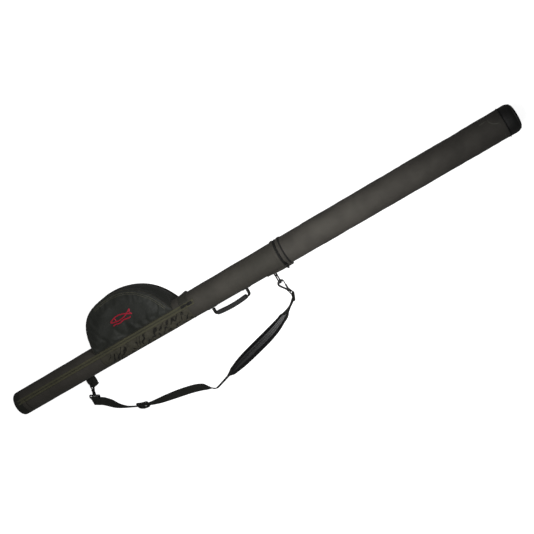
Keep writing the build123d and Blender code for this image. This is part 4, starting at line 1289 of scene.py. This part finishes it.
    def shoulder_pad(self) -> tuple:
        """Arched glossy pad with pointed ends, its edging, and the felt under it.

        The width follows a flat-topped curve that falls to a point at both ends; the top is an
        arch across it, lower along a shallow channel each side.
        """
        path = resample(self.nurbs("pad_line", self.pad), 2.0)
        count = len(path)
        u = np.linspace(-1, 1, count)
        taper = np.where(u < 0, 1 - np.abs(u) ** 3.4, 1 - np.abs(u) ** 2.6)
        half = 2.6 + 13.4 * np.clip(taper, 0, 1) ** 0.75
        high = 3.4 + 8.6 * np.clip(taper, 0, 1) ** 0.6
        t = np.linspace(0, 1, 25)
        c = np.cos(math.pi * t)
        dome = np.sin(math.pi * t) ** 0.8
        ridge = 0.10 * np.cos(math.pi * t * 6) * np.sin(math.pi * t) ** 2
        top = np.stack([half[:, None] * c[None], high[:, None] * (dome + ridge)[None]], -1)
        bottom = np.stack([half[:, None] * -c[None, 1:-1], np.zeros((count, 23))], -1)
        section = np.concatenate([top, bottom], 1)
        path[:, 2] = FLOOR + 4.3
        pad = Maker.sweep("shoulder_pad_cover", path, UP, section)
        Dresser.finish(pad, VINYL, Body.CASE, "pad_vinyl", ("shoulder_pad",))
        side, _ = Maker.frames(path, UP)
        edge = np.concatenate([path + side * half[:, None], (path - side * half[:, None])[::-1]])
        rim = resample(edge, 2.0)
        edging = Maker.sweep("shoulder_pad_edging", rim, UP, ellipse(1.3, 1.1, 10), closed=True)
        Dresser.finish(edging, TRIM, Body.CASE, "piping")
        low = path.copy()
        low[:, 2] = FLOOR + 1.6
        section = band(2.0, 1.0, 4.0, 16)[None] * np.stack([half - 1.2, np.full(count, 2.0)], -1)[:, None]
        felt = Maker.sweep("shoulder_pad_felt", low, UP, section)
        Dresser.finish(felt, FELT, Body.CASE, "pad_back", ("pad_backing",))
        return pad, edging, felt

    def slider(self, path: np.ndarray):
        """A curved three-bar adjuster standing on edge round the webbing."""
        near = int(np.argmin(np.linalg.norm(path[:, :2] - self.adjuster_at, axis=1)))
        along = path[near + 2] - path[near - 2]
        along[2] = 0
        along /= np.linalg.norm(along)
        lean = math.radians(self.adjuster_lean)
        flat = np.cross(UP, along)
        across = math.cos(lean) * flat + math.sin(lean) * UP
        out = np.cross(along, across)
        origin = path[near].copy()
        origin[2] = FLOOR + 16.2
        corner = 3.2
        half_l, half_w = 16.0, 13.0
        ring = band(2 * half_l, 2 * half_w, 5.0, 48)
        curve = origin + ring[:, :1] * along + ring[:, 1:] * across - (ring[:, :1] ** 2 / 90) * out
        frame = Maker.sweep("adjuster_frame", curve, out, ellipse(corner, 3.4, 12), closed=True)
        Dresser.finish(frame, PLASTIC, Body.ADJUSTER, "buckle_plastic", ("strap_adjuster",))
        bar_path = origin + np.linspace(-half_w, half_w, 9)[:, None] * across + out * 1.6
        bar = Maker.sweep("adjuster_bar", bar_path, along, ellipse(2.6, 6.5, 12))
        Dresser.finish(bar, PLASTIC, Body.ADJUSTER, "buckle_plastic")
        return frame, bar

    def build(self) -> None:
        """The whole strap."""
        strap, path = self.webbing()
        pieces = [*self.shoulder_pad(), *self.slider(path)]
        for name, bar_at, bar, tail in (
            ("strap_loop_lower", (-711.1, -95.3, -29.5), (-0.892, 0.4515, 0.0), (0.1, 0.99, 0.12)),
            ("strap_loop_upper", (-34.3, -116.4, -21.8), (0.0, -0.13, 0.99), (0.3, 0.95, 0.1)),
        ):
            pieces.append(self.loop_end(name, np.array(bar_at), np.array(tail), np.array(bar)))


# ---------------------------------------------------------------- carried-over CAD nodes


class Hardware:
    """Materials for the CAD nodes that stay as they are."""

    LOOKS = (
        (METAL, ("long_slider", "long_pull", "ring_slider", "ring_pull", "lower_ring", "upper_ring")),
        (METAL, ("lower_hook", "upper_hook", "lower_swivel", "upper_swivel")),
        (STEEL, ("lower_gate", "upper_gate", "lower_gate_pin", "upper_gate_pin", "zip_stops")),
        (LINER, ("lower_liner", "channel_liner", "upper_liner")),
        (FELT, ("butt_pad", "top_pad")),
    )

    @classmethod
    def dress(cls, nodes: dict) -> None:
        """Gives each node its material."""
        for look, names in cls.LOOKS:
            for name in names:
                nodes[name].data.materials.clear()
                nodes[name].data.materials.append(look.material())
        LOG.info("dressed the carried-over nodes")


# ---------------------------------------------------------------- stage


@dataclass
class Studio:
    """White floor, soft overhead light and the camera."""

    lens: float = 62.90
    position: tuple[float, float, float] = (485.9, -17.2, 2543.2)
    right: tuple[float, float, float] = (0.8458, -0.5023, -0.1798)
    up: tuple[float, float, float] = (0.4913, 0.8647, -0.1044)
    shift: tuple[float, float] = (-0.0009, 0.0005)

    def floor(self) -> None:
        """A bright floor that lies under the case."""
        corner = np.array([(-6000, -6000), (6000, -6000), (6000, 6000), (-6000, 6000)], float)
        floor = Maker.mesh("floor", np.c_[corner, np.full(4, FLOOR - 0.6)], [np.array([[0, 1, 2, 3]])])
        mat, _, shader = blank("white_floor")
        preset(shader, Base_Color=(0.9, 0.9, 0.9, 1), Roughness=0.9)
        preset(shader, Emission_Color=(1, 1, 1, 1), Emission_Strength=0.9)
        floor.data.materials.append(mat)
        floor.visible_diffuse = False
        floor.visible_glossy = False

    @staticmethod
    def light(name: str, place: tuple, aim: tuple, size: float, power: float) -> None:
        """A square area light, in metres and watts, aimed at a point."""
        data = bpy.data.lights.new(name, "AREA")
        data.size, data.energy = size, power
        lamp = bpy.data.objects.new(name, data)
        lamp.location = place
        lamp.rotation_mode = "QUATERNION"
        lamp.rotation_quaternion = (Vector(aim) - Vector(place)).to_track_quat("-Z", "Y")
        bpy.context.scene.collection.objects.link(lamp)

    def camera(self) -> None:
        """The camera, looking down on the case from above."""
        data = bpy.data.cameras.new("camera")
        data.lens, data.sensor_width = self.lens, 36.0
        data.clip_start, data.clip_end = 0.05, 50.0
        data.shift_x, data.shift_y = self.shift
        eye = bpy.data.objects.new("camera", data)
        bpy.context.scene.collection.objects.link(eye)
        right = Vector(self.right).normalized()
        back = right.cross(Vector(self.up)).normalized()
        up = back.cross(right)
        turn = Matrix((right, up, back)).transposed().to_4x4()
        eye.matrix_world = Matrix.Translation(Vector(self.position) * MM) @ turn
        bpy.context.scene.camera = eye

    def build(self) -> None:
        """Everything round the case."""
        self.floor()
        self.light("key", (0.06, -0.08, 0.74), (0.06, 0.0, 0.0), 0.7, 5.8)
        self.light("fill", (-0.75, 0.5, 1.3), (-0.55, 0.0, 0.0), 1.2, 1.6)
        world = bpy.data.worlds.new("world")
        world.use_nodes = True
        world.node_tree.nodes["Background"].inputs["Color"].default_value = (1, 1, 1, 1)
        nodes, links = world.node_tree.nodes, world.node_tree.links
        ray = nodes.new("ShaderNodeLightPath")
        level = nodes.new("ShaderNodeMapRange")
        level.inputs["To Min"].default_value, level.inputs["To Max"].default_value = 0.1, 1.0
        links.new(ray.outputs["Is Camera Ray"], level.inputs["Value"])
        links.new(level.outputs["Result"], nodes["Background"].inputs["Strength"])
        bpy.context.scene.world = world
        bpy.context.scene.view_settings.view_transform = "Standard"
        self.camera()


def main() -> None:
    """Builds the looks in order."""
    logging.basicConfig(level=logging.INFO, format="%(message)s")
    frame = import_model()
    lower = LowerTube()
    for step in (lower.sleeve, lower.flaps, lower.long_zip, lower.butt_cap, lower.end_patch):
        step()
    upper = UpperTube()
    for step in (upper.sleeve, upper.patch_piping, upper.cap):
        step()
    ring = MouthRing()
    for step in (ring.bindings, ring.tapes, ring.hinge):
        step()
    pouch = Pouch()
    shell = pouch.shell()
    pouch.trims(shell)
    pouch.emblem(shell)
    Handle().build()
    Tabs().build()
    Strap().build()
    Hardware.dress(frame["nodes"])
    Studio().build()


if __name__ == "__main__":
    main()
